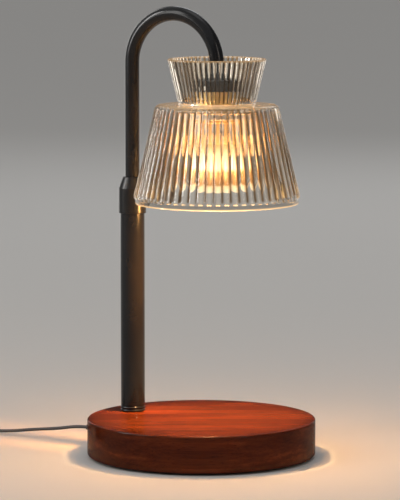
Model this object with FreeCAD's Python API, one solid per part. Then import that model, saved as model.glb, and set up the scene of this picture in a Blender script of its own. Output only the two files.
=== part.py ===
"""Candle warmer lamp: a round wooden base, a telescoping gooseneck stand and a two-tier reeded glass shade
over a halogen reflector bulb, with a rotary dimmer in its lead.

Units are millimetres. The origin is the centre of the footprint on the table, +Z is up, and +X points from
the pole towards the shade. Every STEP file in parts/ is one piece that comes off on a bench.
"""

import FreeCAD
import Part

import math
import os

V = FreeCAD.Vector
UP = V(0, 0, 1)
OUT = "parts"

# ---------------------------------------------------------------- driving dimensions
# Wooden base
BASE_R = 75.0
FOOT_H = 1.5  # rubber feet under the wood
WOOD_T = 24.0
COVER_R = 69.0
COVER_T = 2.0
POCKET_R = 50.0
POCKET_TOP = 15.5
POLE_POCKET_R = 15.0
POLE_POCKET_TOP = 19.5
SCREW_R = 1.5
SCREW_HEAD_R = 3.0
COVER_SCREW_L = 12.0
COVER_SCREW_CIRCLE_R = 59.5
RUBBER_FOOT_R = 6.0
RUBBER_FOOT_CIRCLE_R = 58.0
BALLAST_X = 14.0
BALLAST_R = 34.0
BALLAST_T = 6.0
BALLAST_SCREW_Y = 24.0
BALLAST_SCREW_REACH = 6.0  # above the plate, into the wood

# Stand
POLE_X = -54.0
POLE_R = 8.0
POLE_BORE_R = 6.5
POLE_FOOT_H = 3.8
POLE_SEAT = 0.6  # depth of the counterbore that the pole's foot stands in
POLE_TOP = 166.0
NIPPLE_R = 5.0
NIPPLE_BORE_R = 3.2
NIPPLE_BOTTOM = 13.0
NIPPLE_TOP = 38.0
WASHER_R = 12.0
WASHER_T = 1.5
POLE_NUT_FLATS = 14.0
POLE_NUT_T = 4.0
TUBE_R = 4.75
TUBE_BORE_R = 3.75
TUBE_BOTTOM = 112.0
TUBE_END = 243.5  # lower end of the drop into the lampholder
BUSH_BOTTOM = 115.0
BUSH_TOP = 125.0
STOP_RING_T = 1.6
ARCH_R = 33.0  # centreline of the gooseneck bend
ARCH_Z = 257.5
COLLAR_BOTTOM = 158.0
COLLAR_SHOULDER = 174.6
COLLAR_TOP = 182.0
COLLAR_R = 9.05
COLLAR_NOSE_R = 6.2
FERRULE_BOTTOM = 152.0
FERRULE_FLANGE_TOP = POLE_TOP + 1.4
FERRULE_TOP = 174.4
THREAD_R = 7.0
COLLET_R = 6.1
COLLET_BOTTOM = 171.3
COLLET_TOP = 178.5
COLLET_SLITS = 6
RUNNING = 0.05  # radial clearance of a running fit
EASY = 0.02  # radial clearance of a seated fit

# Shade and lampholder, about the axis x = SHADE_X
SHADE_X = POLE_X + 2 * ARCH_R
REEDS = 60
REED_H = 0.8
RIM_Z = 167.7
RIM_R = 54.6
SHOULDER_Z = 231.5
SHOULDER_R = 40.2
NECK_R = 25.4
MOUTH_Z = 262.0
MOUTH_R = 32.3
GLASS_T = 3.0
FLOOR_T = 3.5
FLOOR_Z = 231.0  # top of the glass floor between the two tiers
FLOOR_HOLE_R = 14.5
GASKET_T = 1.0  # over the floor; the one below is half as thick
CUP_R = 17.3
CUP_BOTTOM = 241.6
CUP_TOP = 249.0
CUP_SCREW_Z = 243.7
CAP_R = 8.0
CAP_H = 4.2
SLEEVE_R = 14.0
SLEEVE_BOTTOM = 220.0
SLEEVE_FLANGE_R = 17.0
SLEEVE_FLANGE_T = 1.5
SLEEVE_HEAD_BOTTOM = 242.0
SLEEVE_TOP = 245.4
BRACKET_T = 1.0
BRACKET_W = 8.0
BRACKET_SCREW_X = 7.6
SOCKET_R = 12.4
SOCKET_FACE_Z = 228.0
SOCKET_TOP = 240.0
PIN_LEDGE = 3.4  # thickness of the ceramic that the pins' heads hook over
CONTACT_CEILING = 11.0
SHADE_RING_R = 18.0
SHADE_RING_H = 4.5
SHADE_RING_GRIPS = 16

# Bulb: a GU10 reflector, 50 mm across
BULB_FACE_Z = 174.5
BULB_R = 25.0
BULB_NECK_Z = 206.0
PIN_PITCH = 10.0
PIN_R = 1.3
PIN_HEAD_R = 2.35
PIN_HEAD_H = 2.8
CAPSULE_R = 4.4
CAPSULE_Z = 190.0
FILAMENT_Z = 192.0

# Lead
CORD_D = 2.2
CORD_Z = 11.0  # height of its exit from the wood
RELIEF_R = 3.2
RELIEF_END_X = -91.0
LEAD_R = 1.3  # the lamp's own lead, inside
TERMINAL_X0, TERMINAL_X1 = -36.5, -24.5
TERMINAL_Z = 9.5
CORE_Y = 4.0
COIL_X = -200.0
COIL_Y = -15.0
COIL_MEAN_R = 13.2  # six cord diameters
COIL_COLUMNS = 5  # turns side by side
COIL_LAYERS = 4
DIMMER_L = 52.0
DIMMER_W = 24.0
DIMMER_H = 14.0
DIMMER_X = -171.0
DIMMER_Y = -54.0
DIMMER_CORD_Z = 5.0
DIMMER_GRIP = 3.0  # how far the cord reaches into the dimmer
DIMMER_WALL = 1.8
SHELL_SPLIT = 7.0
DIMMER_POST_X, DIMMER_POST_Y = 19.0, 5.0
WHEEL_R = 13.6
WHEEL_Z0, WHEEL_Z1 = 7.6, 11.2
WHEEL_FLUTES = 30
PLUG_X = -172.0
PLUG_Y = -87.0
PLUG_Z = 8.0
PLUG_W = 24.0
PLUG_FRONT_X = PLUG_X - 14.0
PLUG_BACK_X = PLUG_X + 6.0
PLUG_NECK_X = PLUG_X + 12.0
BLADE_PITCH = 12.7
BLADE_T = 1.5
BLADE_W = 6.35
BLADE_L = 17.0
BLADE_ROOT = 8.0

WOOD_BOTTOM = FOOT_H
WOOD_TOP = FOOT_H + WOOD_T
CORD_R = CORD_D / 2
COIL_TURN_R = COIL_MEAN_R + (COIL_COLUMNS - 1) / 2 * CORD_D  # centreline of the outermost turn
COIL_H = COIL_LAYERS * CORD_D

# Routes of the free lead, as the corners that its arcs round off
CORD_TO_COIL = [
    (RELIEF_END_X, 0, CORD_Z),
    (-99.0, 0, CORD_Z),
    (-115.0, 0.4, 7.9),
    (-135.0, 0.1, 5.5),
    (-158.0, -1.2, 2.2),
    (-180.0, 0.6, CORD_R),
    (COIL_X, COIL_Y + COIL_TURN_R, CORD_R),
]
COIL_TO_DIMMER = [
    (COIL_X - COIL_TURN_R, COIL_Y, COIL_H - CORD_R),
    (COIL_X - COIL_TURN_R + 0.6, COIL_Y - 9.2, 7.3),
    (COIL_X - COIL_TURN_R - 0.4, COIL_Y - 18.6, 4.4),
    (DIMMER_X - DIMMER_L / 2 - 19.3, DIMMER_Y + 8.8, 1.6),
    (DIMMER_X - DIMMER_L / 2 - 10.3, DIMMER_Y, 4.6),
    (DIMMER_X - DIMMER_L / 2 + DIMMER_GRIP, DIMMER_Y, DIMMER_CORD_Z),
]
DIMMER_TO_PLUG = [
    (DIMMER_X + DIMMER_L / 2 - DIMMER_GRIP, DIMMER_Y, DIMMER_CORD_Z),
    (DIMMER_X + DIMMER_L / 2 + 10.5, DIMMER_Y, DIMMER_CORD_Z),
    (DIMMER_X + DIMMER_L / 2 + 19.5, DIMMER_Y - 11.0, 2.0),
    (DIMMER_X + DIMMER_L / 2 + 15.5, DIMMER_Y - 25.5, 1.6),
    (DIMMER_X + DIMMER_L / 2 + 2.5, PLUG_Y, 5.2),
    (PLUG_NECK_X, PLUG_Y, PLUG_Z),
]


# ---------------------------------------------------------------- small helpers
def save(name, *solids):
    """Writes one piece, or a group of identical pieces, as parts/NAME.step."""
    solids = [s for shape in solids for s in shape.Solids]
    for solid in solids:
        assert solid.isValid() and solid.Volume > 0, name
    shape = solids[0] if len(solids) == 1 else Part.makeCompound(solids)
    shape.exportStep(os.path.join(OUT, name + ".step"))


def rod(radius, z0, z1, x=0.0, y=0.0):
    return Part.makeCylinder(radius, z1 - z0, V(x, y, z0), UP)


def ring(outer, inner, z0, z1, x=0.0, y=0.0):
    return rod(outer, z0, z1, x, y).cut(rod(inner, z0, z1, x, y))


def eased_disc(radius, ease, z0, z1, x=0.0, y=0.0):
    """A disc whose lower edge is chamfered."""
    return turned([(0, z0), (radius - ease, z0), (radius, z0 + ease), (radius, z1), (0, z1)], x, y)


def rod_along(direction, radius, length, start):
    return Part.makeCylinder(radius, length, start, direction)


def turned(points, x=0.0, y=0.0):
    """A solid turned about the vertical line through (x, y), from its (radius, height) outline."""
    corners = [V(x + r, y, z) for r, z in points]
    face = Part.Face(Part.makePolygon(corners + corners[:1]))
    return face.revolve(V(x, y, 0), UP, 360)


def block(x0, x1, y0, y1, z0, z1):
    return Part.makeBox(x1 - x0, y1 - y0, z1 - z0, V(x0, y0, z0))


def hexagon(across_flats, z0, z1, x, y):
    corner = across_flats / math.sqrt(3)
    points = [
        V(x + corner * math.cos(math.radians(60 * k)), y + corner * math.sin(math.radians(60 * k)), z0)
        for k in range(7)
    ]
    return Part.Face(Part.makePolygon(points)).extrude(V(0, 0, z1 - z0))


def round_edges(shape, radius, keep):
    """Fillets the edges for which keep(edge) is true."""
    edges = [e for e in shape.Edges if keep(e)]
    return shape.makeFillet(radius, edges)


def polar(radius, degrees, z=0.0, x=0.0):
    a = math.radians(degrees)
    return V(x + radius * math.cos(a), radius * math.sin(a), z)


# ---------------------------------------------------------------- routes of cords and leads
def route_edges(points):
    """Straight runs joined by tangent arcs, each as large as its two runs allow. Returns edges and radii."""
    points = [V(*p) for p in points]
    edges, radii, at = [], [], points[0]
    for before, corner, after in zip(points, points[1:], points[2:]):
        back = (before - corner).normalize()
        ahead = (after - corner).normalize()
        turn = math.pi - back.getAngle(ahead)
        reach = 0.45 * min((before - corner).Length, (after - corner).Length)
        radius = reach / math.tan(turn / 2)
        start, end = corner + back * reach, corner + ahead * reach
        bisector = (back + ahead).normalize()
        centre = corner + bisector * (radius / math.cos(turn / 2))
        middle = centre - bisector * radius
        edges += [Part.LineSegment(at, start).toShape(), Part.Arc(start, middle, end).toShape()]
        radii.append(radius)
        at = end
    edges.append(Part.LineSegment(at, points[-1]).toShape())
    return edges, radii


def tube_along(name, points, radius):
    """A solid cord along a route. Prints its length and bend radii."""
    edges, radii = route_edges(points)
    path = Part.Wire(edges)
    direction = V(*points[1]) - V(*points[0])
    section = Part.Wire([Part.makeCircle(radius, V(*points[0]), direction)])
    solid = path.makePipeShell([section], True, False)
    expected = math.pi * radius**2 * path.Length
    print(
        f"{name}: length {path.Length:.1f}, radii {[round(r, 1) for r in radii]}, "
        f"volume ratio {solid.Volume / expected:.4f}"
    )
    return solid


# ---------------------------------------------------------------- base
def wood_base():
    """Turned disc with eased edges, hollowed from below."""
    body = turned(
        [
            (0, WOOD_BOTTOM),
            (BASE_R - 1.2, WOOD_BOTTOM),
            (BASE_R, WOOD_BOTTOM + 1.2),
            (BASE_R, WOOD_TOP - 1.1),
            (BASE_R - 0.35, WOOD_TOP - 0.35),
            (BASE_R - 1.1, WOOD_TOP),
            (0, WOOD_TOP),
        ]
    )
    body = body.cut(rod(COVER_R + 0.3, WOOD_BOTTOM, WOOD_BOTTOM + COVER_T))
    body = body.cut(rod(POCKET_R, WOOD_BOTTOM, POCKET_TOP))
    body = body.cut(rod(POLE_POCKET_R, WOOD_BOTTOM, POLE_POCKET_TOP, POLE_X))
    body = body.cut(rod(NIPPLE_R + 0.1, WOOD_BOTTOM, WOOD_TOP, POLE_X))
    body = body.cut(rod(POLE_R + 0.3, WOOD_TOP - POLE_SEAT, WOOD_TOP, POLE_X))
    body = body.cut(rod_along(V(1, 0, 0), RELIEF_R + 0.05, 20, V(-BASE_R - 1, 0, CORD_Z)))
    for at in cover_screw_places():
        body = body.cut(rod(SCREW_R + EASY, WOOD_BOTTOM, WOOD_BOTTOM + COVER_SCREW_L, at.x, at.y))
    for at in ballast_screw_places():
        body = body.cut(rod(SCREW_R + EASY, POCKET_TOP, POCKET_TOP + BALLAST_SCREW_REACH + 0.2, at.x, at.y))
    return body


def cover_screw_places():
    return [polar(COVER_SCREW_CIRCLE_R, degrees) for degrees in (0, 120, 240)]


def ballast_screw_places():
    return [V(BALLAST_X, side * BALLAST_SCREW_Y, 0) for side in (-1, 1)]


def foot_places():
    return [polar(RUBBER_FOOT_CIRCLE_R, degrees) for degrees in (45, 135, 225, 315)]


def base_cover():
    plate = rod(COVER_R, WOOD_BOTTOM, WOOD_BOTTOM + COVER_T)
    for at in cover_screw_places():
        at.z = WOOD_BOTTOM
        plate = plate.cut(Part.makeCone(SCREW_HEAD_R + EASY, SCREW_R + EASY, COVER_T, at, UP))
    return plate


def countersunk_screw(at, z0, length):
    """A screw with its flat head down, pointing up."""
    head = Part.makeCone(SCREW_HEAD_R, SCREW_R, COVER_T, V(at.x, at.y, z0), UP)
    slot = block(at.x - 2.2, at.x + 2.2, at.y - 0.35, at.y + 0.35, z0, z0 + 0.6)
    cross = slot.copy()
    cross.rotate(V(at.x, at.y, z0), UP, 90)
    shank = rod(SCREW_R, z0 + COVER_T, z0 + length - 0.3, at.x, at.y)
    return head.fuse(shank).cut(slot).cut(cross).removeSplitter()


def rubber_foot(at):
    return eased_disc(RUBBER_FOOT_R, 0.5, 0, FOOT_H, at.x, at.y)


def ballast_plate():
    plate = rod(BALLAST_R, POCKET_TOP - BALLAST_T, POCKET_TOP, BALLAST_X)
    for at in ballast_screw_places():
        plate = plate.cut(rod(SCREW_R + 0.3, 0, POCKET_TOP, at.x, at.y))
    return plate


def ballast_screw(at):
    """A pan-head screw up through the plate into the wood."""
    under = POCKET_TOP - BALLAST_T
    low, tip = under - 1.8, POCKET_TOP + BALLAST_SCREW_REACH
    screw = turned(
        [
            (0, low),
            (SCREW_HEAD_R - 1.0, low),
            (SCREW_HEAD_R - 0.2, low + 0.6),
            (SCREW_HEAD_R, under),
            (SCREW_R, under),
            (SCREW_R, tip),
            (0, tip),
        ],
        at.x,
        at.y,
    )
    return screw.cut(block(at.x - 3.5, at.x + 3.5, at.y - 0.4, at.y + 0.4, low, low + 0.8))


# ---------------------------------------------------------------- pole and its fixing
def pole_foot():
    """Turned plug: two beads show above the wood, and a spigot stands up inside the pole."""
    seat, bead = WOOD_TOP - POLE_SEAT, POLE_FOOT_H / 2
    outline = [(NIPPLE_R + EASY, seat), (POLE_R - 0.35, seat)]
    for k in range(2):
        low = WOOD_TOP + k * bead
        outline += [
            (POLE_R - 0.35, low),
            (POLE_R + 0.15, low + 0.45),
            (POLE_R + 0.15, low + bead - 0.5),
            (POLE_R - 0.35, low + bead),
        ]
    outline += [
        (POLE_BORE_R - EASY, WOOD_TOP + POLE_FOOT_H),
        (POLE_BORE_R - EASY, WOOD_TOP + 14.0),
        (POLE_BORE_R - 0.8, WOOD_TOP + 14.8),
        (NIPPLE_R + EASY, WOOD_TOP + 14.8),
    ]
    return turned(outline, POLE_X)


def lower_pole():
    bottom = WOOD_TOP + POLE_FOOT_H
    return turned(
        [
            (POLE_BORE_R, bottom),
            (POLE_R - 0.2, bottom),
            (POLE_R, bottom + 0.2),
            (POLE_R, POLE_TOP - 0.2),
            (POLE_R - 0.2, POLE_TOP),
            (POLE_BORE_R, POLE_TOP),
        ],
        POLE_X,
    )


def pole_nipple():
    return turned(
        [
            (NIPPLE_BORE_R, NIPPLE_BOTTOM),
            (NIPPLE_R - 0.6, NIPPLE_BOTTOM),
            (NIPPLE_R, NIPPLE_BOTTOM + 0.6),
            (NIPPLE_R, NIPPLE_TOP - 0.6),
            (NIPPLE_R - 0.6, NIPPLE_TOP),
            (NIPPLE_BORE_R, NIPPLE_TOP),
        ],
        POLE_X,
    )


def pole_washer():
    return ring(WASHER_R, NIPPLE_R + 0.2, POLE_POCKET_TOP - WASHER_T, POLE_POCKET_TOP, POLE_X)


def pole_nut():
    """Hexagon nut under the washer, crowned on its lower side."""
    top = POLE_POCKET_TOP - WASHER_T
    low, crown = top - POLE_NUT_T, 1.2
    nut = hexagon(POLE_NUT_FLATS, low, top, POLE_X, 0)
    corner_r = POLE_NUT_FLATS / math.sqrt(3) + 0.5
    cone = Part.makeCone(corner_r - 1.4, corner_r, crown, V(POLE_X, 0, low), UP)
    nut = nut.common(cone.fuse(rod(corner_r, low + crown, top, POLE_X)))
    return nut.cut(rod(NIPPLE_R + EASY, 0, top, POLE_X)).removeSplitter()


# ---------------------------------------------------------------- twist-lock at the top of the pole
def pole_ferrule():
    """Brass insert: spigot in the pole, flange on its end, threaded nose with a cone for the collet."""
    return turned(
        [
            (TUBE_R + 0.2, FERRULE_BOTTOM),
            (POLE_BORE_R - 0.5, FERRULE_BOTTOM),
            (POLE_BORE_R - EASY, FERRULE_BOTTOM + 0.5),
            (POLE_BORE_R - EASY, POLE_TOP),
            (POLE_R - 0.1, POLE_TOP),
            (POLE_R - 0.1, FERRULE_FLANGE_TOP),
            (THREAD_R, FERRULE_FLANGE_TOP),
            (THREAD_R, FERRULE_TOP - 0.5),
            (THREAD_R - 0.5, FERRULE_TOP),
            (COLLET_R + EASY, FERRULE_TOP),
            (COLLET_R - 0.8 + EASY, COLLET_BOTTOM),
            (TUBE_R + 0.2, COLLET_BOTTOM),
        ],
        POLE_X,
    )


def collet():
    """Nylon ring, coned at both ends and slit alternately from below and above, so that it can close."""
    body = turned(
        [
            (TUBE_R + RUNNING, COLLET_BOTTOM),
            (COLLET_R - 0.8, COLLET_BOTTOM),
            (COLLET_R, FERRULE_TOP + 0.1),
            (COLLET_R, COLLET_TOP - 3.2),
            (COLLET_R - 0.8, COLLET_TOP),
            (TUBE_R + RUNNING, COLLET_TOP),
        ],
        POLE_X,
    )
    step = 360 / COLLET_SLITS
    for k in range(COLLET_SLITS):
        low, high = (COLLET_BOTTOM, COLLET_TOP - 2.0) if k % 2 else (COLLET_BOTTOM + 2.0, COLLET_TOP)
        slit = block(POLE_X, POLE_X + 8, -0.4, 0.4, low, high)
        slit.rotate(V(POLE_X, 0, 0), UP, step * (k + 0.5))
        body = body.cut(slit)
    return body


def collar_nut():
    """Twist collar: it shrouds the pole's end, is threaded on the ferrule and closes the collet."""
    return turned(
        [
            (POLE_R + RUNNING, COLLAR_BOTTOM),
            (COLLAR_R - 0.5, COLLAR_BOTTOM),
            (COLLAR_R, COLLAR_BOTTOM + 0.5),
            (COLLAR_R, COLLAR_SHOULDER - 0.3),
            (COLLAR_R - 0.2, COLLAR_SHOULDER),
            (COLLAR_NOSE_R + 0.15, COLLAR_TOP - 0.4),
            (COLLAR_NOSE_R - 0.3, COLLAR_TOP),
            (TUBE_R + 0.3, COLLAR_TOP),
            (TUBE_R + 0.3, COLLET_TOP + 0.2),
            (COLLET_R - 0.7, COLLET_TOP + 0.2),
            (COLLET_R + 0.15, COLLET_TOP - 3.2),
            (THREAD_R + RUNNING, COLLET_TOP - 3.4),
            (THREAD_R + RUNNING, FERRULE_FLANGE_TOP + 0.15),
            (POLE_R + RUNNING, FERRULE_FLANGE_TOP + 0.15),
        ],
        POLE_X,
    )


# ---------------------------------------------------------------- sliding gooseneck
def arm_tube():
    """Straight leg, half-circle bend and short drop into the lampholder."""
    top = V(POLE_X + ARCH_R, 0, ARCH_Z + ARCH_R)
    path = Part.Wire(
        [
            Part.LineSegment(V(POLE_X, 0, TUBE_BOTTOM), V(POLE_X, 0, ARCH_Z)).toShape(),
            Part.Arc(V(POLE_X, 0, ARCH_Z), top, V(SHADE_X, 0, ARCH_Z)).toShape(),
            Part.LineSegment(V(SHADE_X, 0, ARCH_Z), V(SHADE_X, 0, TUBE_END)).toShape(),
        ]
    )
    outer, inner = (
        path.makePipeShell([Part.Wire([Part.makeCircle(r, V(POLE_X, 0, TUBE_BOTTOM), UP)])], True, False)
        for r in (TUBE_R, TUBE_BORE_R)
    )
    return outer.cut(inner)


def guide_bush():
    """Nylon bush at the tube's lower end: it slides in the pole, and the tube turns in it."""
    return turned(
        [
            (TUBE_R + RUNNING, BUSH_BOTTOM),
            (POLE_BORE_R - 0.6, BUSH_BOTTOM),
            (POLE_BORE_R - RUNNING, BUSH_BOTTOM + 0.8),
            (POLE_BORE_R - RUNNING, BUSH_TOP - 0.8),
            (POLE_BORE_R - 0.6, BUSH_TOP),
            (TUBE_R + RUNNING, BUSH_TOP),
        ],
        POLE_X,
    )


def stop_ring(z0):
    """Pressed ring on the tube that keeps the bush in place and stops the tube from pulling out."""
    return ring(POLE_BORE_R - 0.5, TUBE_R, z0, z0 + STOP_RING_T, POLE_X)


# ---------------------------------------------------------------- lampholder
def holder_cup():
    """Shallow spun cap over the holder's works; its skirt fits round the sleeve's head."""
    wall = 1.0
    cup = turned(
        [
            (CUP_R - wall, CUP_BOTTOM),
            (CUP_R, CUP_BOTTOM),
            (CUP_R, CUP_TOP - 0.8),
            (CUP_R - 0.8, CUP_TOP),
            (TUBE_R + EASY, CUP_TOP),
            (TUBE_R + EASY, CUP_TOP - wall),
            (CUP_R - wall, CUP_TOP - wall),
        ],
        SHADE_X,
    )
    for side in (-1, 1):
        start = V(SHADE_X, side * 10.0, CUP_SCREW_Z)
        cup = cup.cut(rod_along(V(0, side, 0), 1.1, 12.0, start))
    return cup


def holder_sleeve():
    """Threaded brass sleeve through the glass floor. Its flange stands on the gasket, the shade ring runs on
    its lower end, and the cap is screwed to its head."""
    flange = FLOOR_Z + GASKET_T
    head_r = CUP_R - 1.0 - EASY
    sleeve = turned(
        [
            (SOCKET_R + 0.1, SLEEVE_BOTTOM),
            (SLEEVE_R - 0.5, SLEEVE_BOTTOM),
            (SLEEVE_R, SLEEVE_BOTTOM + 0.5),
            (SLEEVE_R, flange),
            (SLEEVE_FLANGE_R, flange),
            (SLEEVE_FLANGE_R, flange + SLEEVE_FLANGE_T),
            (SLEEVE_R, flange + SLEEVE_FLANGE_T),
            (SLEEVE_R, SLEEVE_HEAD_BOTTOM),
            (head_r, SLEEVE_HEAD_BOTTOM),
            (head_r, SLEEVE_TOP),
            (SOCKET_R + 0.1, SLEEVE_TOP),
        ],
        SHADE_X,
    )
    for side in (-1, 1):
        sleeve = sleeve.cut(rod_along(V(0, side, 0), 1.02, 3.6, V(SHADE_X, side * 13.6, CUP_SCREW_Z)))
    return sleeve


def cup_screw(side):
    """Slotted screw through the cap's skirt into the sleeve's head; its flat head touches the round skirt."""
    shank = rod_along(V(0, side, 0), 1.0, CUP_R - 14.0, V(SHADE_X, side * 14.0, CUP_SCREW_Z))
    head = rod_along(V(0, side, 0), 1.6, 1.0, V(SHADE_X, side * CUP_R, CUP_SCREW_Z))
    y0, y1 = sorted((side * (CUP_R + 0.6), side * (CUP_R + 1.1)))
    slot = block(SHADE_X - 2, SHADE_X + 2, y0, y1, CUP_SCREW_Z - 0.25, CUP_SCREW_Z + 0.25)
    return shank.fuse(head).cut(slot).removeSplitter()


def cap_collar():
    """Clamping ring on top of the cup, with a grub screw against the tube."""
    body = turned(
        [
            (TUBE_R + EASY, CUP_TOP),
            (CAP_R - 0.4, CUP_TOP),
            (CAP_R, CUP_TOP + 0.4),
            (CAP_R, CUP_TOP + CAP_H - 0.8),
            (CAP_R - 0.6, CUP_TOP + CAP_H),
            (TUBE_R + EASY, CUP_TOP + CAP_H),
        ],
        SHADE_X,
    )
    return body.cut(rod_along(V(1, 0, 0), 1.0 + EASY, CAP_R, V(SHADE_X + 4.5, 0, CUP_TOP + CAP_H / 2)))


def grub_screw():
    """Slotted set screw, its point against the tube."""
    z, length = CUP_TOP + CAP_H / 2, 2.6
    screw = rod_along(V(1, 0, 0), 1.0, length, V(SHADE_X + TUBE_R, 0, z))
    tip = SHADE_X + TUBE_R + length
    return screw.cut(block(tip - 0.8, tip + 0.1, -1.2, 1.2, z - 0.25, z + 0.25))


def tube_nut():
    """Thin nut on the tube's threaded end, under the bracket."""
    top = CUP_TOP - 1.0 - BRACKET_T
    return hexagon(13.0, top - 3.0, top, SHADE_X, 0).cut(rod(TUBE_R + EASY, 240, top, SHADE_X))


def holder_bracket():
    """Bent strap: its web is clamped under the cup's top and its two feet are screwed to the ceramic."""
    top, half = CUP_TOP - 1.0, BRACKET_W / 2
    web = block(SHADE_X - 10, SHADE_X + 10, -half, half, top - BRACKET_T, top)
    web = web.cut(rod(TUBE_R + EASY, 240, top, SHADE_X))
    strap = web
    for side in (-1, 1):
        outer, inner = sorted((SHADE_X + side * 10, SHADE_X + side * 9))
        strap = strap.fuse(block(outer, inner, -half, half, SOCKET_TOP, top))
        outer, inner = sorted((SHADE_X + side * 10, SHADE_X + side * 6.2))
        strap = strap.fuse(block(outer, inner, -half, half, SOCKET_TOP, SOCKET_TOP + BRACKET_T))
        strap = strap.cut(rod(1.05, SOCKET_TOP, SOCKET_TOP + BRACKET_T, SHADE_X + side * BRACKET_SCREW_X))
    return strap.removeSplitter()


def bracket_screw(side):
    x = SHADE_X + side * BRACKET_SCREW_X
    return rod(1.0, SOCKET_TOP - 5, SOCKET_TOP + BRACKET_T, x).fuse(
        rod(1.35, SOCKET_TOP + BRACKET_T, SOCKET_TOP + BRACKET_T + 1.0, x)
    ).removeSplitter()


def socket_ceramic():
    """Round ceramic holder with two curved keyhole slots for the bulb's headed pins."""
    body = eased_disc(SOCKET_R, 0.6, SOCKET_FACE_Z, SOCKET_TOP, SHADE_X)
    ledge, ceiling = SOCKET_FACE_Z + PIN_LEDGE, SOCKET_FACE_Z + CONTACT_CEILING
    for side in (-1, 1):
        y = side * PIN_PITCH / 2
        body = body.cut(rod(1.0 + EASY, SOCKET_TOP - 5.1, SOCKET_TOP, SHADE_X + side * BRACKET_SCREW_X))
        body = body.cut(rod(3.4, ledge, ceiling, SHADE_X, y))
        body = body.cut(rod(1.2, ceiling, SOCKET_TOP, SHADE_X, y))
        for degrees in (0, 11, 22, 33):
            slot = rod(1.6 if degrees < 30 else 2.7, SOCKET_FACE_Z, ledge, SHADE_X, y)
            slot.rotate(V(SHADE_X, 0, 0), UP, degrees)
            body = body.cut(slot)
    return body


def socket_contact(side):
    """Brass button that bears on the pin's head, on a stem against the pocket's ceiling."""
    y, seat = side * PIN_PITCH / 2, SOCKET_FACE_Z + PIN_LEDGE + PIN_HEAD_H
    button = rod(2.9, seat, seat + 0.8, SHADE_X, y)
    stem = rod(1.8, seat + 0.8, SOCKET_FACE_Z + CONTACT_CEILING, SHADE_X, y)
    return button.fuse(stem).removeSplitter()


def shade_gaskets():
    """Silicone washers over and under the glass floor."""
    over = ring(SLEEVE_FLANGE_R + 0.8, FLOOR_HOLE_R, FLOOR_Z, FLOOR_Z + GASKET_T, SHADE_X)
    under_top = FLOOR_Z - FLOOR_T
    under = ring(SHADE_RING_R + 1.0, FLOOR_HOLE_R, under_top - GASKET_T / 2, under_top, SHADE_X)
    return over, under


def shade_ring():
    """Flanged ring nut with finger grips, which clamps the glass floor from below."""
    top = FLOOR_Z - FLOOR_T - GASKET_T / 2
    low, flange = top - SHADE_RING_H, top - 1.2
    body = turned(
        [
            (SLEEVE_R + EASY, low),
            (SHADE_RING_R - 0.6, low),
            (SHADE_RING_R, low + 0.5),
            (SHADE_RING_R, flange),
            (SHADE_RING_R + 1.0, flange),
            (SHADE_RING_R + 1.0, top),
            (SLEEVE_R + EASY, top),
        ],
        SHADE_X,
    )
    for k in range(SHADE_RING_GRIPS):
        grip = block(SHADE_X + SHADE_RING_R - 0.6, SHADE_X + SHADE_RING_R + 1, -0.9, 0.9, low, flange)
        grip.rotate(V(SHADE_X, 0, 0), UP, 360 / SHADE_RING_GRIPS * k)
        body = body.cut(grip)
    return body


# ---------------------------------------------------------------- glass shade
def reeded_wire(valley_r, crest, z):
    """A closed outline of convex reeds round the axis; crest 0 gives the plain circle in as many arcs."""
    step = 360.0 / REEDS
    arcs = []
    for k in range(REEDS):
        start, end = (polar(valley_r, turn * step, z) for turn in (k, k + 1))
        top = polar(valley_r + crest, (k + 0.5) * step, z)
        arcs.append(Part.Arc(start, top, end).toShape())
    return Part.Wire(arcs)


def reeded_cone(sections):
    """Ruled loft through (valley radius, crest, height) sections."""
    return Part.makeLoft([reeded_wire(*s) for s in sections], True, True)


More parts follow.
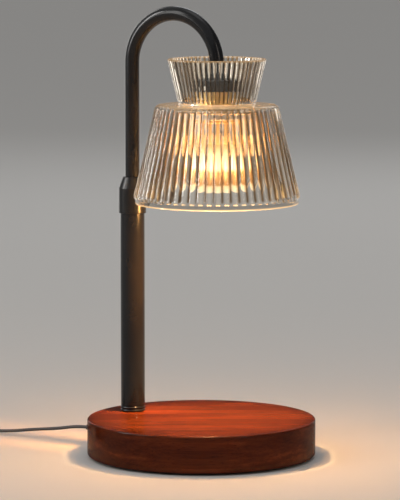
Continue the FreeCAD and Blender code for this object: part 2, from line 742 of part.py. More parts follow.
def glass_shade():
    """Two-tier pressed glass, open at both ends: a bell whose reeds stand out above a plain rim band, a flat
    shoulder and a flaring crown whose reeds run to its mouth."""
    band_top, reeds_low, reeds_high = RIM_Z + 3.4, RIM_Z + 4.6, SHOULDER_Z - 2.2
    band_r = RIM_R - REED_H
    bell = reeded_cone(
        [
            (band_r, 0.0, band_top),
            (band_r, REED_H, reeds_low),
            (SHOULDER_R - REED_H * 0.8, REED_H * 0.8, reeds_high),
            (SHOULDER_R - 1.3, REED_H * 0.35, SHOULDER_Z - 0.5),
            (SHOULDER_R - 2.4, 0.0, SHOULDER_Z),
        ]
    )
    rim = turned(
        [
            (RIM_R - GLASS_T, RIM_Z + 0.7),
            (RIM_R - GLASS_T + 0.7, RIM_Z),
            (band_r - 0.9, RIM_Z),
            (band_r - 0.2, RIM_Z + 0.5),
            (band_r, RIM_Z + 1.2),
            (band_r, band_top),
            (RIM_R - GLASS_T - 1.0, band_top),
        ]
    )
    reed = REED_H * 0.65
    crown = reeded_cone(
        [
            (NECK_R + 0.4, 0.0, SHOULDER_Z - 1.0),
            (NECK_R - reed, reed, SHOULDER_Z + 2.2),
            (MOUTH_R - reed, reed, MOUTH_Z - 0.8),
            (MOUTH_R - 0.9, reed * 0.4, MOUTH_Z),
        ]
    )
    under_floor = FLOOR_Z - FLOOR_T
    bell_room = turned(
        [
            (0, RIM_Z - 1),
            (RIM_R - GLASS_T + 0.1, RIM_Z - 1),
            (RIM_R - GLASS_T, RIM_Z + 0.7),
            (SHOULDER_R - GLASS_T - 0.6, under_floor - 2.0),
            (SHOULDER_R - GLASS_T - 2.4, under_floor),
            (0, under_floor),
        ]
    )
    crown_room = turned(
        [
            (0, FLOOR_Z),
            (NECK_R - GLASS_T - 1.6, FLOOR_Z),
            (NECK_R - GLASS_T, FLOOR_Z + 2.0),
            (MOUTH_R - GLASS_T, MOUTH_Z - 1.0),
            (MOUTH_R - GLASS_T + 0.5, MOUTH_Z + 1),
            (0, MOUTH_Z + 1),
        ]
    )
    glass = bell.fuse(crown).fuse(rim).cut(bell_room).cut(crown_room).cut(rod(FLOOR_HOLE_R, 200, MOUTH_Z))
    glass.translate(V(SHADE_X, 0, 0))
    return glass.removeSplitter()


# ---------------------------------------------------------------- bulb
def bulb_base():
    """Ceramic cap of the bulb, oval towards the reflector."""
    return turned(
        [
            (0, BULB_NECK_Z - 1.0),
            (10.2, BULB_NECK_Z - 1.0),
            (10.6, BULB_NECK_Z),
            (9.6, BULB_NECK_Z + 3.5),
            (8.9, BULB_NECK_Z + 8.0),
            (8.7, SOCKET_FACE_Z - 1.4),
            (8.1, SOCKET_FACE_Z - 0.8),
            (0, SOCKET_FACE_Z - 0.8),
        ],
        SHADE_X,
    ).cut(rod(CAPSULE_R + 0.2, BULB_NECK_Z - 1.0, BULB_NECK_Z + 4.0, SHADE_X))


def bulb_pin(side):
    y, ledge = side * PIN_PITCH / 2, SOCKET_FACE_Z + PIN_LEDGE
    neck = rod(PIN_R, SOCKET_FACE_Z - 0.8, ledge, SHADE_X, y)
    head = rod(PIN_HEAD_R, ledge, ledge + PIN_HEAD_H, SHADE_X, y)
    return neck.fuse(head).removeSplitter()


def reflector_outline(offset):
    """Radius and height along the reflector's bowl, from its neck down to its rim."""
    points = []
    neck_r, neck_z, rim_z, steps = 10.4, BULB_NECK_Z - 1.0, BULB_FACE_Z + 3.2, 4
    for k in range(steps + 1):
        t = k / steps
        r = neck_r + (BULB_R - 1.0 - neck_r) * t**0.62
        points.append((r - offset, neck_z - (neck_z - rim_z) * t))
    return points


def bulb_reflector():
    outer = reflector_outline(0.0) + [(BULB_R, BULB_FACE_Z + 2.6), (BULB_R, BULB_FACE_Z)]
    seat = BULB_FACE_Z + 2.0  # the lens sits against this step
    inner = [(BULB_R - 0.9, BULB_FACE_Z), (BULB_R - 0.9, seat), (BULB_R - 2.3, seat)]
    inner += reversed(reflector_outline(1.3))
    return turned(outer + inner, SHADE_X)


def bulb_lens():
    radius = BULB_R - 0.9 - EASY
    return eased_disc(radius, 0.6, BULB_FACE_Z, BULB_FACE_Z + 2.0, SHADE_X)


def bulb_capsule():
    """Small quartz capsule on the axis, domed at its lower end."""
    end, room_r = V(SHADE_X, 0, CAPSULE_Z), CAPSULE_R - 0.8
    tube = rod(CAPSULE_R, end.z, BULB_NECK_Z + 3.9, SHADE_X).fuse(Part.makeSphere(CAPSULE_R, end))
    room = rod(room_r, end.z, BULB_NECK_Z - 3.0, SHADE_X).fuse(Part.makeSphere(room_r, end))
    return tube.cut(room).removeSplitter()


def bulb_filament():
    """Coiled tungsten wire across the capsule, on two straight legs."""
    half = 2.0
    coil = rod_along(V(0, 1, 0), 0.7, 2 * half, V(SHADE_X, -half, FILAMENT_Z))
    legs = [rod(0.25, FILAMENT_Z, BULB_NECK_Z - 3.0, SHADE_X, side * (half - 0.2)) for side in (-1, 1)]
    return coil.fuse(legs[0]).fuse(legs[1]).removeSplitter()


# ---------------------------------------------------------------- wiring that the lamp holds
def terminal_block():
    """Two-way connector with a barrel for each core and its clamping screws underneath."""
    low = TERMINAL_Z - 4.5
    body = block(TERMINAL_X0, TERMINAL_X1, -2 * CORE_Y, 2 * CORE_Y, low, low + 9.0)
    for y in (-CORE_Y, CORE_Y):
        body = body.cut(rod_along(V(1, 0, 0), LEAD_R + 0.15, 14, V(TERMINAL_X0 - 1, y, TERMINAL_Z)))
        for x in (TERMINAL_X0 + 3.0, TERMINAL_X1 - 3.0):
            body = body.cut(rod(1.6, low, low + 2.0, x, y))
    return body


def inner_cord():
    """The mains lead from the strain relief, under the pole's nut, to the terminal block."""
    points = [
        (RELIEF_END_X, 0, CORD_Z),
        (-64.0, 0, CORD_Z),
        (-54.0, CORE_Y + 0.6, 10.0),
        (-44.0, CORE_Y, TERMINAL_Z),
        (TERMINAL_X0 + 3.0, CORE_Y, TERMINAL_Z),
    ]
    return tube_along("inner_cord", points, CORD_R)


def base_lead():
    """The lamp's lead from the terminal block up through the nipple to the foot of the pole."""
    points = [
        (TERMINAL_X0 + 3.0, -CORE_Y, TERMINAL_Z),
        (-45.0, -CORE_Y, TERMINAL_Z),
        (POLE_X, -1.6, 7.4),
        (POLE_X, 0.0, 18.0),
        (POLE_X, 0.0, NIPPLE_TOP - 0.5),
    ]
    return tube_along("base_lead", points, LEAD_R)


def arm_lead():
    """The lead through the gooseneck, from its lower end to the lampholder."""
    top = V(POLE_X + ARCH_R, 0, ARCH_Z + ARCH_R)
    path = Part.Wire(
        [
            Part.LineSegment(V(POLE_X, 0, TUBE_BOTTOM - 4), V(POLE_X, 0, ARCH_Z)).toShape(),
            Part.Arc(V(POLE_X, 0, ARCH_Z), top, V(SHADE_X, 0, ARCH_Z)).toShape(),
            Part.LineSegment(V(SHADE_X, 0, ARCH_Z), V(SHADE_X, 0, SOCKET_TOP)).toShape(),
        ]
    )
    section = Part.Wire([Part.makeCircle(LEAD_R, V(POLE_X, 0, TUBE_BOTTOM - 4), UP)])
    return path.makePipeShell([section], True, False)


def cord_relief():
    """Moulded bush: a flange against the wood, a barrel through it and a tapering tail round the cord."""
    outline = [
        (CORD_R + 0.05, RELIEF_END_X),
        (CORD_R + 0.75, RELIEF_END_X),
        (CORD_R + 1.3, RELIEF_END_X + 10.0),
        (4.6, -BASE_R - 2.4),
        (5.0, -BASE_R - 1.8),
        (5.0, -BASE_R - 0.1),
        (RELIEF_R, -BASE_R - 0.1),
        (RELIEF_R, -POLE_POCKET_R + POLE_X - 0.5),
        (CORD_R + 0.05, -POLE_POCKET_R + POLE_X - 0.5),
    ]
    corners = [V(x, 0, CORD_Z + r) for r, x in outline]
    face = Part.Face(Part.makePolygon(corners + corners[:1]))
    body = face.revolve(V(0, 0, CORD_Z), V(1, 0, 0), 360)
    for k in range(3):
        x = RELIEF_END_X + 2.6 + 3.0 * k
        for side in (-1, 1):
            y0, y1 = sorted((side * (CORD_R + 0.35), side * 5.0))
            body = body.cut(block(x, x + 1.1, y0, y1, CORD_Z - 5, CORD_Z + 5))
    return body


# ---------------------------------------------------------------- free cord, dimmer and plug
def cord_coil():
    """Outer shape of the wound spare length."""
    outer, edge = COIL_TURN_R + CORD_R, CORD_R
    inner = 2 * COIL_MEAN_R - outer
    return turned(
        [
            (inner, edge),
            (inner + edge, 0),
            (outer - edge, 0),
            (outer, edge),
            (outer, COIL_H - edge),
            (outer - edge, COIL_H),
            (inner + edge, COIL_H),
            (inner, COIL_H - edge),
        ],
        COIL_X,
        COIL_Y,
    )


def dimmer_outline(grow, z0, z1):
    """Rounded pill in plan, as a straight prism."""
    half_l, half_w = DIMMER_L / 2 + grow, DIMMER_W / 2 + grow
    body = block(DIMMER_X - half_l, DIMMER_X + half_l, DIMMER_Y - half_w, DIMMER_Y + half_w, z0, z1)

    def upright(edge):
        return abs(abs(edge.Vertexes[0].Z - edge.Vertexes[-1].Z) - (z1 - z0)) < 1e-6

    return round_edges(body, 9.0 + grow, upright)


def dimmer_posts():
    return [V(DIMMER_X + s * DIMMER_POST_X, DIMMER_Y + s * DIMMER_POST_Y, 0) for s in (-1, 1)]


def dimmer_half(z0, z1, closed_z, room_z0, room_z1):
    """One half of the housing: rounded outside, hollow, with the wheel's slots and the cord's bore."""
    body = dimmer_outline(0.0, z0, z1)
    body = round_edges(body, 2.0, lambda e: all(abs(v.Z - closed_z) < 1e-6 for v in e.Vertexes))
    body = body.cut(dimmer_outline(-DIMMER_WALL, room_z0, room_z1))
    body = body.cut(rod(WHEEL_R + 0.5, WHEEL_Z0 - 0.3, WHEEL_Z1 + 0.3, DIMMER_X, DIMMER_Y))
    start = V(DIMMER_X - DIMMER_L / 2 - 1, DIMMER_Y, DIMMER_CORD_Z)
    return body.cut(rod_along(V(1, 0, 0), CORD_R + EASY, DIMMER_L + 2, start))


def dimmer_lower_shell():
    """Lower half with the screws' sunk posts and the wheel's pivot."""
    body = dimmer_half(0.0, SHELL_SPLIT, 0.0, DIMMER_WALL, SHELL_SPLIT)
    for post in dimmer_posts():
        body = body.fuse(rod(2.6, 1.0, SHELL_SPLIT, post.x, post.y))
        body = body.cut(rod(2.2, 0, 1.6, post.x, post.y)).cut(rod(1.25, 0, SHELL_SPLIT, post.x, post.y))
    body = body.fuse(rod(3.0, 1.5, WHEEL_Z0 - 0.2, DIMMER_X, DIMMER_Y))
    return body.fuse(rod(1.5, WHEEL_Z0 - 0.2, WHEEL_Z1 + 0.4, DIMMER_X, DIMMER_Y)).removeSplitter()


def dimmer_upper_shell():
    """Upper half with the posts that the screws bite into."""
    body = dimmer_half(SHELL_SPLIT, DIMMER_H, DIMMER_H, SHELL_SPLIT, DIMMER_H - DIMMER_WALL)
    for post in dimmer_posts():
        body = body.fuse(ring(2.6, 1.0 + EASY, SHELL_SPLIT, DIMMER_H - 1.5, post.x, post.y))
    return body.removeSplitter()


def dimmer_screw(at):
    screw = rod(2.1, 0.3, 1.6, at.x, at.y).fuse(rod(1.0, 1.6, 11.5, at.x, at.y))
    return screw.cut(block(at.x - 2.2, at.x + 2.2, at.y - 0.25, at.y + 0.25, 0.3, 0.8)).removeSplitter()


def dimmer_wheel():
    """Thumbwheel with a fluted edge that stands out of both long sides."""
    wheel = ring(WHEEL_R, 1.5 + RUNNING, WHEEL_Z0, WHEEL_Z1, DIMMER_X, DIMMER_Y)
    for k in range(WHEEL_FLUTES):
        flute = block(WHEEL_R - 0.5, WHEEL_R + 0.5, -0.45, 0.45, WHEEL_Z0, WHEEL_Z1)
        flute.rotate(V(0, 0, 0), UP, 360 / WHEEL_FLUTES * k)
        flute.translate(V(DIMMER_X, DIMMER_Y, 0))
        wheel = wheel.cut(flute)
    return wheel


def dimmer_board():
    """Circuit board on the floor of the lower half, notched for the posts and the pivot."""
    half_l, half_w, top = 20.5, 8.0, DIMMER_WALL + 1.4
    board = block(
        DIMMER_X - half_l, DIMMER_X + half_l, DIMMER_Y - half_w, DIMMER_Y + half_w, DIMMER_WALL, top
    )
    for post in dimmer_posts():
        board = board.cut(rod(2.9, 1, 5, post.x, post.y))
    return board.cut(rod(3.3, 1, 5, DIMMER_X, DIMMER_Y))


def plug_body():
    """Moulded two-blade plug lying on its side, with finger grips and a short neck round the cord."""
    half_w, front, back = PLUG_W / 2, PLUG_FRONT_X, PLUG_BACK_X
    body = block(front, back, PLUG_Y - half_w, PLUG_Y + half_w, 0, 2 * PLUG_Z)

    def lengthwise(edge):
        return abs(abs(edge.Vertexes[0].X - edge.Vertexes[-1].X) - (back - front)) < 1e-6

    body = round_edges(body, 5.0, lengthwise)
    body = round_edges(body, 2.5, lambda e: all(abs(v.X - back) < 1e-6 for v in e.Vertexes))
    for k in range(4):
        for side in (-1, 1):
            y0, y1 = sorted((side * (half_w - 0.7), side * (half_w + 1)))
            x = front + 4.0 + 3.0 * k
            body = body.cut(block(x, x + 1.2, PLUG_Y + y0, PLUG_Y + y1, 2.5, 2 * PLUG_Z - 2.5))
    start = V(back - 0.5, PLUG_Y, PLUG_Z)
    body = body.fuse(Part.makeCone(4.2, 2.2, PLUG_NECK_X - start.x, start, V(1, 0, 0)))
    half_t, half_blade = BLADE_T / 2 + EASY, BLADE_W / 2 + EASY
    z0, z1 = PLUG_Z - half_blade, PLUG_Z + half_blade
    for side in (-1, 1):
        y = PLUG_Y + side * BLADE_PITCH / 2
        body = body.cut(block(front, front + BLADE_ROOT, y - half_t, y + half_t, z0, z1))
    return body.removeSplitter()


def plug_blade(side):
    """Flat blade, rounded at its tip and with the usual cross hole."""
    tip, y = PLUG_FRONT_X - BLADE_L, PLUG_Y + side * BLADE_PITCH / 2
    half_t, half_w = BLADE_T / 2, BLADE_W / 2
    blade = block(tip, PLUG_FRONT_X + BLADE_ROOT, y - half_t, y + half_t, PLUG_Z - half_w, PLUG_Z + half_w)

    def tip_corner(edge):
        return all(abs(v.X - tip) < 1e-6 for v in edge.Vertexes) and abs(edge.Length - BLADE_T) < 1e-6

    blade = round_edges(blade, 2.0, tip_corner)
    return blade.cut(rod_along(V(0, 1, 0), 1.6, 4, V(tip + 5.0, y - 2, PLUG_Z)))


# ---------------------------------------------------------------- all pieces
def main():
    os.makedirs(OUT, exist_ok=True)
    for old in os.listdir(OUT):
        os.remove(os.path.join(OUT, old))

    save("wood_base", wood_base())
    save("base_cover", base_cover())
    save("cover_screws", *[countersunk_screw(at, WOOD_BOTTOM, COVER_SCREW_L) for at in cover_screw_places()])
    save("rubber_feet", *[rubber_foot(at) for at in foot_places()])
    save("ballast_plate", ballast_plate())
    save("ballast_screws", *[ballast_screw(at) for at in ballast_screw_places()])

    save("pole_foot", pole_foot())
    save("lower_pole", lower_pole())
    save("pole_nipple", pole_nipple())
    save("pole_washer", pole_washer())
    save("pole_nut", pole_nut())
    save("pole_ferrule", pole_ferrule())
    save("collet", collet())
    save("collar_nut", collar_nut())

    save("guide_bush", guide_bush())
    save("arm_tube", arm_tube())
    save("stop_rings", stop_ring(BUSH_BOTTOM - 0.2 - STOP_RING_T), stop_ring(BUSH_TOP + 0.2))
    save("arm_lead", arm_lead())

    save("cap_collar", cap_collar())
    save("grub_screw", grub_screw())
    save("holder_cup", holder_cup())
    save("tube_nut", tube_nut())
    save("holder_bracket", holder_bracket())
    save("bracket_screws", *[bracket_screw(side) for side in (-1, 1)])
    save("holder_sleeve", holder_sleeve())
    save("cup_screws", *[cup_screw(side) for side in (-1, 1)])
    save("socket_ceramic", socket_ceramic())
    save("socket_contacts", *[socket_contact(side) for side in (-1, 1)])

    save("shade_gaskets", *shade_gaskets())
    save("glass_shade", glass_shade())
    save("shade_ring", shade_ring())

    save("bulb_base", bulb_base())
    save("bulb_pins", *[bulb_pin(side) for side in (-1, 1)])
    save("bulb_reflector", bulb_reflector())
    save("bulb_lens", bulb_lens())
    save("bulb_capsule", bulb_capsule())
    save("bulb_filament", bulb_filament())

    save("terminal_block", terminal_block())
    save("inner_cord", inner_cord())
    save("base_lead", base_lead())
    save("cord_relief", cord_relief())
    save("cord_to_coil", tube_along("cord_to_coil", CORD_TO_COIL, CORD_R))
    save("cord_coil", cord_coil())
    save("cord_to_dimmer", tube_along("cord_to_dimmer", COIL_TO_DIMMER, CORD_R))
    save("dimmer_lower_shell", dimmer_lower_shell())
    save("dimmer_upper_shell", dimmer_upper_shell())
    save("dimmer_screws", *[dimmer_screw(at) for at in dimmer_posts()])
    save("dimmer_board", dimmer_board())
    save("dimmer_wheel", dimmer_wheel())
    save("cord_to_plug", tube_along("cord_to_plug", DIMMER_TO_PLUG, CORD_R))
    save("plug_body", plug_body())
    save("plug_blades", *[plug_blade(side) for side in (-1, 1)])


main()
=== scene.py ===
"""Dresses the candle warmer lamp: turned mahogany base, black telescoping gooseneck, two-tier reeded glass
shade over a lit reflector bulb, and the thin black lead with its dimmer and plug.

Units are metres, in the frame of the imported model: the origin is the middle of the footprint, +Z is up and
+X points from the pole towards the shade. Each operator makes one piece or one group of like pieces.
"""

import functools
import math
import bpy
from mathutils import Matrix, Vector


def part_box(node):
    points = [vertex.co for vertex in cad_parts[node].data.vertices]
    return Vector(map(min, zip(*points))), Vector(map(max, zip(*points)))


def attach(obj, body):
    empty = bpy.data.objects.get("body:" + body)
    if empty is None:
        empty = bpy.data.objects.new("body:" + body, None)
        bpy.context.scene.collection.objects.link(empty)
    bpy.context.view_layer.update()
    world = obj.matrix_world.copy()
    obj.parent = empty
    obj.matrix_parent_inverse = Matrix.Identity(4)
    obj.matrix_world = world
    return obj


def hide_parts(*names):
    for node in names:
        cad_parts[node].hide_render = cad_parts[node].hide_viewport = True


bl_info = {
    "name": "Candle warmer lamp",
    "version": (1, 0, 0),
    "blender": (4, 5, 0),
    "location": "3D View > Sidebar > Lamp",
    "description": "Builds the visible pieces and finishes of a candle warmer lamp",
    "category": "Add Mesh",
}

import bmesh
import bpy
from mathutils import Matrix, Vector

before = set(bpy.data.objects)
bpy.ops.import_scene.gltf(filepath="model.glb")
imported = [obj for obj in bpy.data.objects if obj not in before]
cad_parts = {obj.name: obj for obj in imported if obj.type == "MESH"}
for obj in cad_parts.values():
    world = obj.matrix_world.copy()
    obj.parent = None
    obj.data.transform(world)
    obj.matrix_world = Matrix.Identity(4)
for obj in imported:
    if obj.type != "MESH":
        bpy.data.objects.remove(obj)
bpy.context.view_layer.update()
UP = Vector((0, 0, 1))


@functools.cache
def box(node):
    """Lowest and highest corner of a CAD node."""
    return tuple(Vector(corner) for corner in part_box(node))


def middle(node):
    """Centre of a CAD node's box."""
    low, high = box(node)
    return (low + high) / 2


def radius_of(node):
    """Half the width along Y of a CAD node that is round about a vertical line."""
    low, high = box(node)
    return (high.y - low.y) / 2


POLE_X = middle("lower_pole").x
SHADE_X = middle("glass_shade").x
GLASS_LOW, GLASS_HIGH = (corner.z for corner in box("glass_shade"))
GASKET = 0.0005
SLEEVE_FOOT = 0.0110  # how far the sleeve reaches down from the top of the glass's floor
FLOOR_UNDER = box("shade_ring")[1].z + GASKET
FLOOR_TOP = box("holder_sleeve")[0].z + SLEEVE_FOOT


# ------------------------ what a user would change
class LampSizes(bpy.types.PropertyGroup):
    """Sizes of the pieces that the scene shapes itself"""

    wood_edge: bpy.props.FloatProperty(
        name="Wood edge", description="Radius of the base's rounded top edge", default=0.0012, unit="LENGTH"
    )
    tube_radius: bpy.props.FloatProperty(
        name="Tube radius", description="Outer radius of the gooseneck", default=0.00475, unit="LENGTH"
    )
    tube_wall: bpy.props.FloatProperty(
        name="Tube wall", description="Wall thickness of the gooseneck", default=0.001, unit="LENGTH"
    )
    reeds: bpy.props.IntProperty(
        name="Reeds", description="Convex reeds round each tier of the glass", default=60, min=12
    )
    reed_height: bpy.props.FloatProperty(
        name="Reed height", description="How far a reed stands proud", default=0.0010, unit="LENGTH"
    )
    glass_wall: bpy.props.FloatProperty(
        name="Glass wall", description="Thickness under the reeds", default=0.003, unit="LENGTH"
    )
    shoulder_height: bpy.props.FloatProperty(
        name="Shoulder height", description="Height of the ledge", default=0.2321, unit="LENGTH"
    )
    shoulder_radius: bpy.props.FloatProperty(
        name="Shoulder radius", description="Bell's outer radius at its top", default=0.0402, unit="LENGTH"
    )
    neck_radius: bpy.props.FloatProperty(
        name="Neck radius", description="Crown's outer radius at its foot", default=0.0254, unit="LENGTH"
    )
    mouth_radius: bpy.props.FloatProperty(
        name="Mouth radius", description="Crown's outer radius at its mouth", default=0.0323, unit="LENGTH"
    )
    cord_diameter: bpy.props.FloatProperty(
        name="Cord diameter", description="Thickness of the lead", default=0.0022, unit="LENGTH"
    )
    coil_radius: bpy.props.FloatProperty(
        name="Coil radius", description="Middle radius of the wound lead", default=0.0132, unit="LENGTH"
    )
    coil_columns: bpy.props.IntProperty(
        name="Coil columns", description="Turns that lie side by side in the coil", default=5, min=1
    )


class LampFinish(bpy.types.PropertyGroup):
    """Colours of the finishes and strength of the bulb"""

    wood_dark: bpy.props.FloatVectorProperty(
        name="Dark grain",
        description="Dark lines of the mahogany",
        subtype="COLOR",
        default=(0.024, 0.0027, 0.0010),
    )
    wood_light: bpy.props.FloatVectorProperty(
        name="Light grain",
        description="Light figure of the mahogany",
        subtype="COLOR",
        default=(0.200, 0.038, 0.0090),
    )
    enamel: bpy.props.FloatVectorProperty(
        name="Enamel",
        description="Black paint of the metalwork",
        subtype="COLOR",
        default=(0.0045, 0.0045, 0.005),
    )
    glow: bpy.props.FloatVectorProperty(
        name="Glow",
        description="Colour of the bulb's light",
        subtype="COLOR",
        default=(1.0, 0.66, 0.32),
    )
    bulb_power: bpy.props.FloatProperty(
        name="Bulb power",
        description="Radiant power of the bulb's light",
        default=3.6,
        min=0.0,
        unit="POWER",
    )
    bulb_strength: bpy.props.FloatProperty(
        name="Bulb strength",
        description="Brightness of the bulb's lens",
        default=3.0,
        min=0.0,
    )


# ------------------------ shaders
class Value:
    """A number socket that takes part in arithmetic: each operation adds a Math node."""

    def __init__(self, shader, socket):
        self.shader = shader
        self.socket = socket

    def __add__(self, other):
        return self.shader.math("ADD", self, other)

    def __sub__(self, other):
        return self.shader.math("SUBTRACT", self, other)

    def __rsub__(self, other):
        return self.shader.math("SUBTRACT", other, self)

    def __mul__(self, other):
        return self.shader.math("MULTIPLY", self, other)

    def __pow__(self, other):
        return self.shader.math("POWER", self, other)

    def fraction(self):
        """What is left after the last whole number."""
        return self.shader.math("FRACT", self)

    __radd__ = __add__
    __rmul__ = __mul__


class Shader:
    """One material under construction."""

    def __init__(self, name):
        self.material = bpy.data.materials.new(name)
        self.material.use_nodes = True
        self.tree = self.material.node_tree
        self.tree.nodes.clear()
        self.place = self.node("ShaderNodeTexCoord").outputs["Object"]

    def node(self, kind, settings=None, inputs=None):
        """Adds a node: first its settings, then the values or links of its sockets."""
        node = self.tree.nodes.new(kind)
        for name, value in (settings or {}).items():
            if name == "stops":
                self.set_stops(node.color_ramp, value)
            else:
                setattr(node, name, value)
        for name, value in (inputs or {}).items():
            self.feed(node.inputs[name], value)
        return node

    def set_stops(self, ramp, stops):
        """Gives a colour ramp its stops, each a position and a colour."""
        while len(ramp.elements) < len(stops):
            ramp.elements.new(1.0)
        for element, (position, colour) in zip(ramp.elements, stops):
            element.position = position
            element.color = (*colour, 1.0)

    def feed(self, socket, value):
        """Links a socket to another, or sets its number or colour."""
        if isinstance(value, Value):
            value = value.socket
        if isinstance(value, bpy.types.NodeSocket):
            self.tree.links.new(value, socket)
        elif socket.type == "RGBA" and len(value) == 3:
            socket.default_value = (*value, 1.0)
        else:
            socket.default_value = value

    def math(self, operation, *values):
        """A Math node on numbers and values."""
        node = self.node("ShaderNodeMath", {"operation": operation}, dict(enumerate(values)))
        return Value(self, node.outputs[0])

    def span(self, value, low, high):
        """0 below low, 1 above high and even between them."""
        ends = {"Value": value, "From Min": low, "From Max": high}
        return Value(self, self.node("ShaderNodeMapRange", {"clamp": True}, ends).outputs[0])

    def mapped(self, scale, turn):
        """Object coordinates in metres, turned about Z and then stretched."""
        turned = self.node("ShaderNodeMapping", {}, {"Vector": self.place, "Rotation": (0, 0, turn)})
        stretched = {"Vector": turned.outputs[0], "Scale": scale}
        return self.node("ShaderNodeMapping", {}, stretched).outputs[0]

    def noise(self, scale, detail=2.0, roughness=0.5, distortion=0.0, turn=0.0):
        """Noise with so many waves per metre, one number or one along each axis."""
        scale = (scale,) * 3 if isinstance(scale, (int, float)) else scale
        inputs = {
            "Vector": self.mapped(scale, turn),
            "Scale": 1.0,
            "Detail": detail,
            "Roughness": roughness,
            "Distortion": distortion,
        }
        return Value(self, self.node("ShaderNodeTexNoise", {}, inputs).outputs[0])

    def along(self, axis):
        """The X, Y or Z object coordinate, in metres."""
        split = self.node("ShaderNodeSeparateXYZ", {}, {0: self.place})
        return Value(self, split.outputs[axis])

    def ramp(self, value, *stops):
        """A colour for each value, straight between the stops."""
        return self.node("ShaderNodeValToRGB", {"stops": stops}, {"Fac": value}).outputs[0]

    def mix(self, factor, first, second):
        """The first colour at a factor of 0 and the second at 1."""
        colours = {0: factor, 6: first, 7: second}  # a Mix node's sockets for colours come after its others
        return self.node("ShaderNodeMix", {"data_type": "RGBA"}, colours).outputs[2]

    def bump(self, height, depth, strength=1.0):
        """A normal from a height of 0 to 1 that stands for depth metres."""
        inputs = {"Height": height, "Distance": depth, "Strength": strength}
        return self.node("ShaderNodeBump", {}, inputs).outputs[0]

    def finish(self, **inputs):
        """Closes the material with a Principled BSDF. Its sockets are named with underscores for spaces."""
        named = {name.replace("_", " "): value for name, value in inputs.items()}
        surface = self.node("ShaderNodeBsdfPrincipled", {}, named)
        self.node("ShaderNodeOutputMaterial", {}, {"Surface": surface.outputs[0]})
        return self.material


def mahogany(finish):
    """Quarter-sawn mahogany under satin lacquer: dark grain lines, light ribbons and fine open pores."""
    s = Shader("mahogany_lacquered")
    turn = -math.radians(32)  # direction of the grain in the base
    pore_colour = (0.008, 0.0010, 0.0006)
    ribbons = s.noise((5, 34, 150), distortion=0.6, turn=turn)
    lines = s.noise((8, 300, 640), detail=3.0, roughness=0.6, distortion=0.2, turn=turn)
    fibres = s.noise((40, 1400, 2400), turn=turn)
    tone = s.span(ribbons * 0.62 + lines * 0.38, 0.28, 0.78)
    between = tuple((a + b) / 2.6 for a, b in zip(finish.wood_dark, finish.wood_light))
    colour = s.ramp(tone, (0.0, finish.wood_dark), (0.55, between), (1.0, finish.wood_light))
    pores = s.span(s.noise((55, 1500, 2600), detail=1.0, turn=turn), 0.60, 0.70)
    colour = s.mix(pores * 0.6, colour, pore_colour)
    height = 1 - pores * 0.8 + fibres * 0.25
    return s.finish(
        Base_Color=colour,
        Roughness=0.30 + s.noise(60) * 0.12,
        Normal=s.bump(height, 0.00005, 0.5),
        Specular_IOR_Level=0.0,
        Coat_Weight=0.22,
        Coat_Roughness=0.09,
    )


def enamel(name, colour, roughness=0.20, grain=900, depth=0.00002):
    """Satin black paint on metal, with a faint orange peel."""
    s = Shader(name)
    cloud = s.noise(70)
    lighter = tuple(c * 2.1 + 0.002 for c in colour)
    return s.finish(
        Base_Color=s.mix(cloud, colour, lighter),
        Roughness=roughness + cloud * 0.08,
        Normal=s.bump(s.noise(grain, detail=1.0), depth, 0.5),
        Specular_IOR_Level=0.28,
        Coat_Weight=0.10,
        Coat_Roughness=0.07,
    )


def metal(name, colour, roughness=0.28, stretch=(400, 400, 2600)):
    """Bare metal with fine turning marks and a little tarnish."""
    s = Shader(name)
    stain = s.noise(110, detail=3.0)
    marks = s.noise(stretch)
    tarnished = tuple(c * 0.75 for c in colour)
    return s.finish(
        Base_Color=s.mix(stain, tarnished, colour),
        Metallic=1.0,
        Roughness=roughness + marks * 0.16,
        Normal=s.bump(marks, 0.00001, 0.5),
    )


def moulded(name, colour, roughness=0.42, grain=1400, depth=0.000015, spread=1.5):
    """Moulded plastic, rubber or ceramic: slight cloud in the colour and a fine spark-eroded grain."""
    s = Shader(name)
    cloud = s.noise(90, detail=3.0)
    lighter = tuple(min(1.0, c * spread) for c in colour)
    return s.finish(
        Base_Color=s.mix(cloud, colour, lighter),
        Roughness=roughness + cloud * 0.12,
        Normal=s.bump(s.noise(grain), depth, 0.6),
    )


def board(name, colour, fleck):
    """Pressed fibre or laminate with flecks."""
    s = Shader(name)
    flecks = s.span(s.noise(1100), 0.56, 0.66)
    cloud = s.noise(60, detail=3.0)
    return s.finish(
        Base_Color=s.mix(flecks, s.mix(cloud, colour, tuple(c * 1.4 for c in colour)), fleck),
        Roughness=0.62 + cloud * 0.15,
        Normal=s.bump(flecks, 0.00004, 0.5),
    )


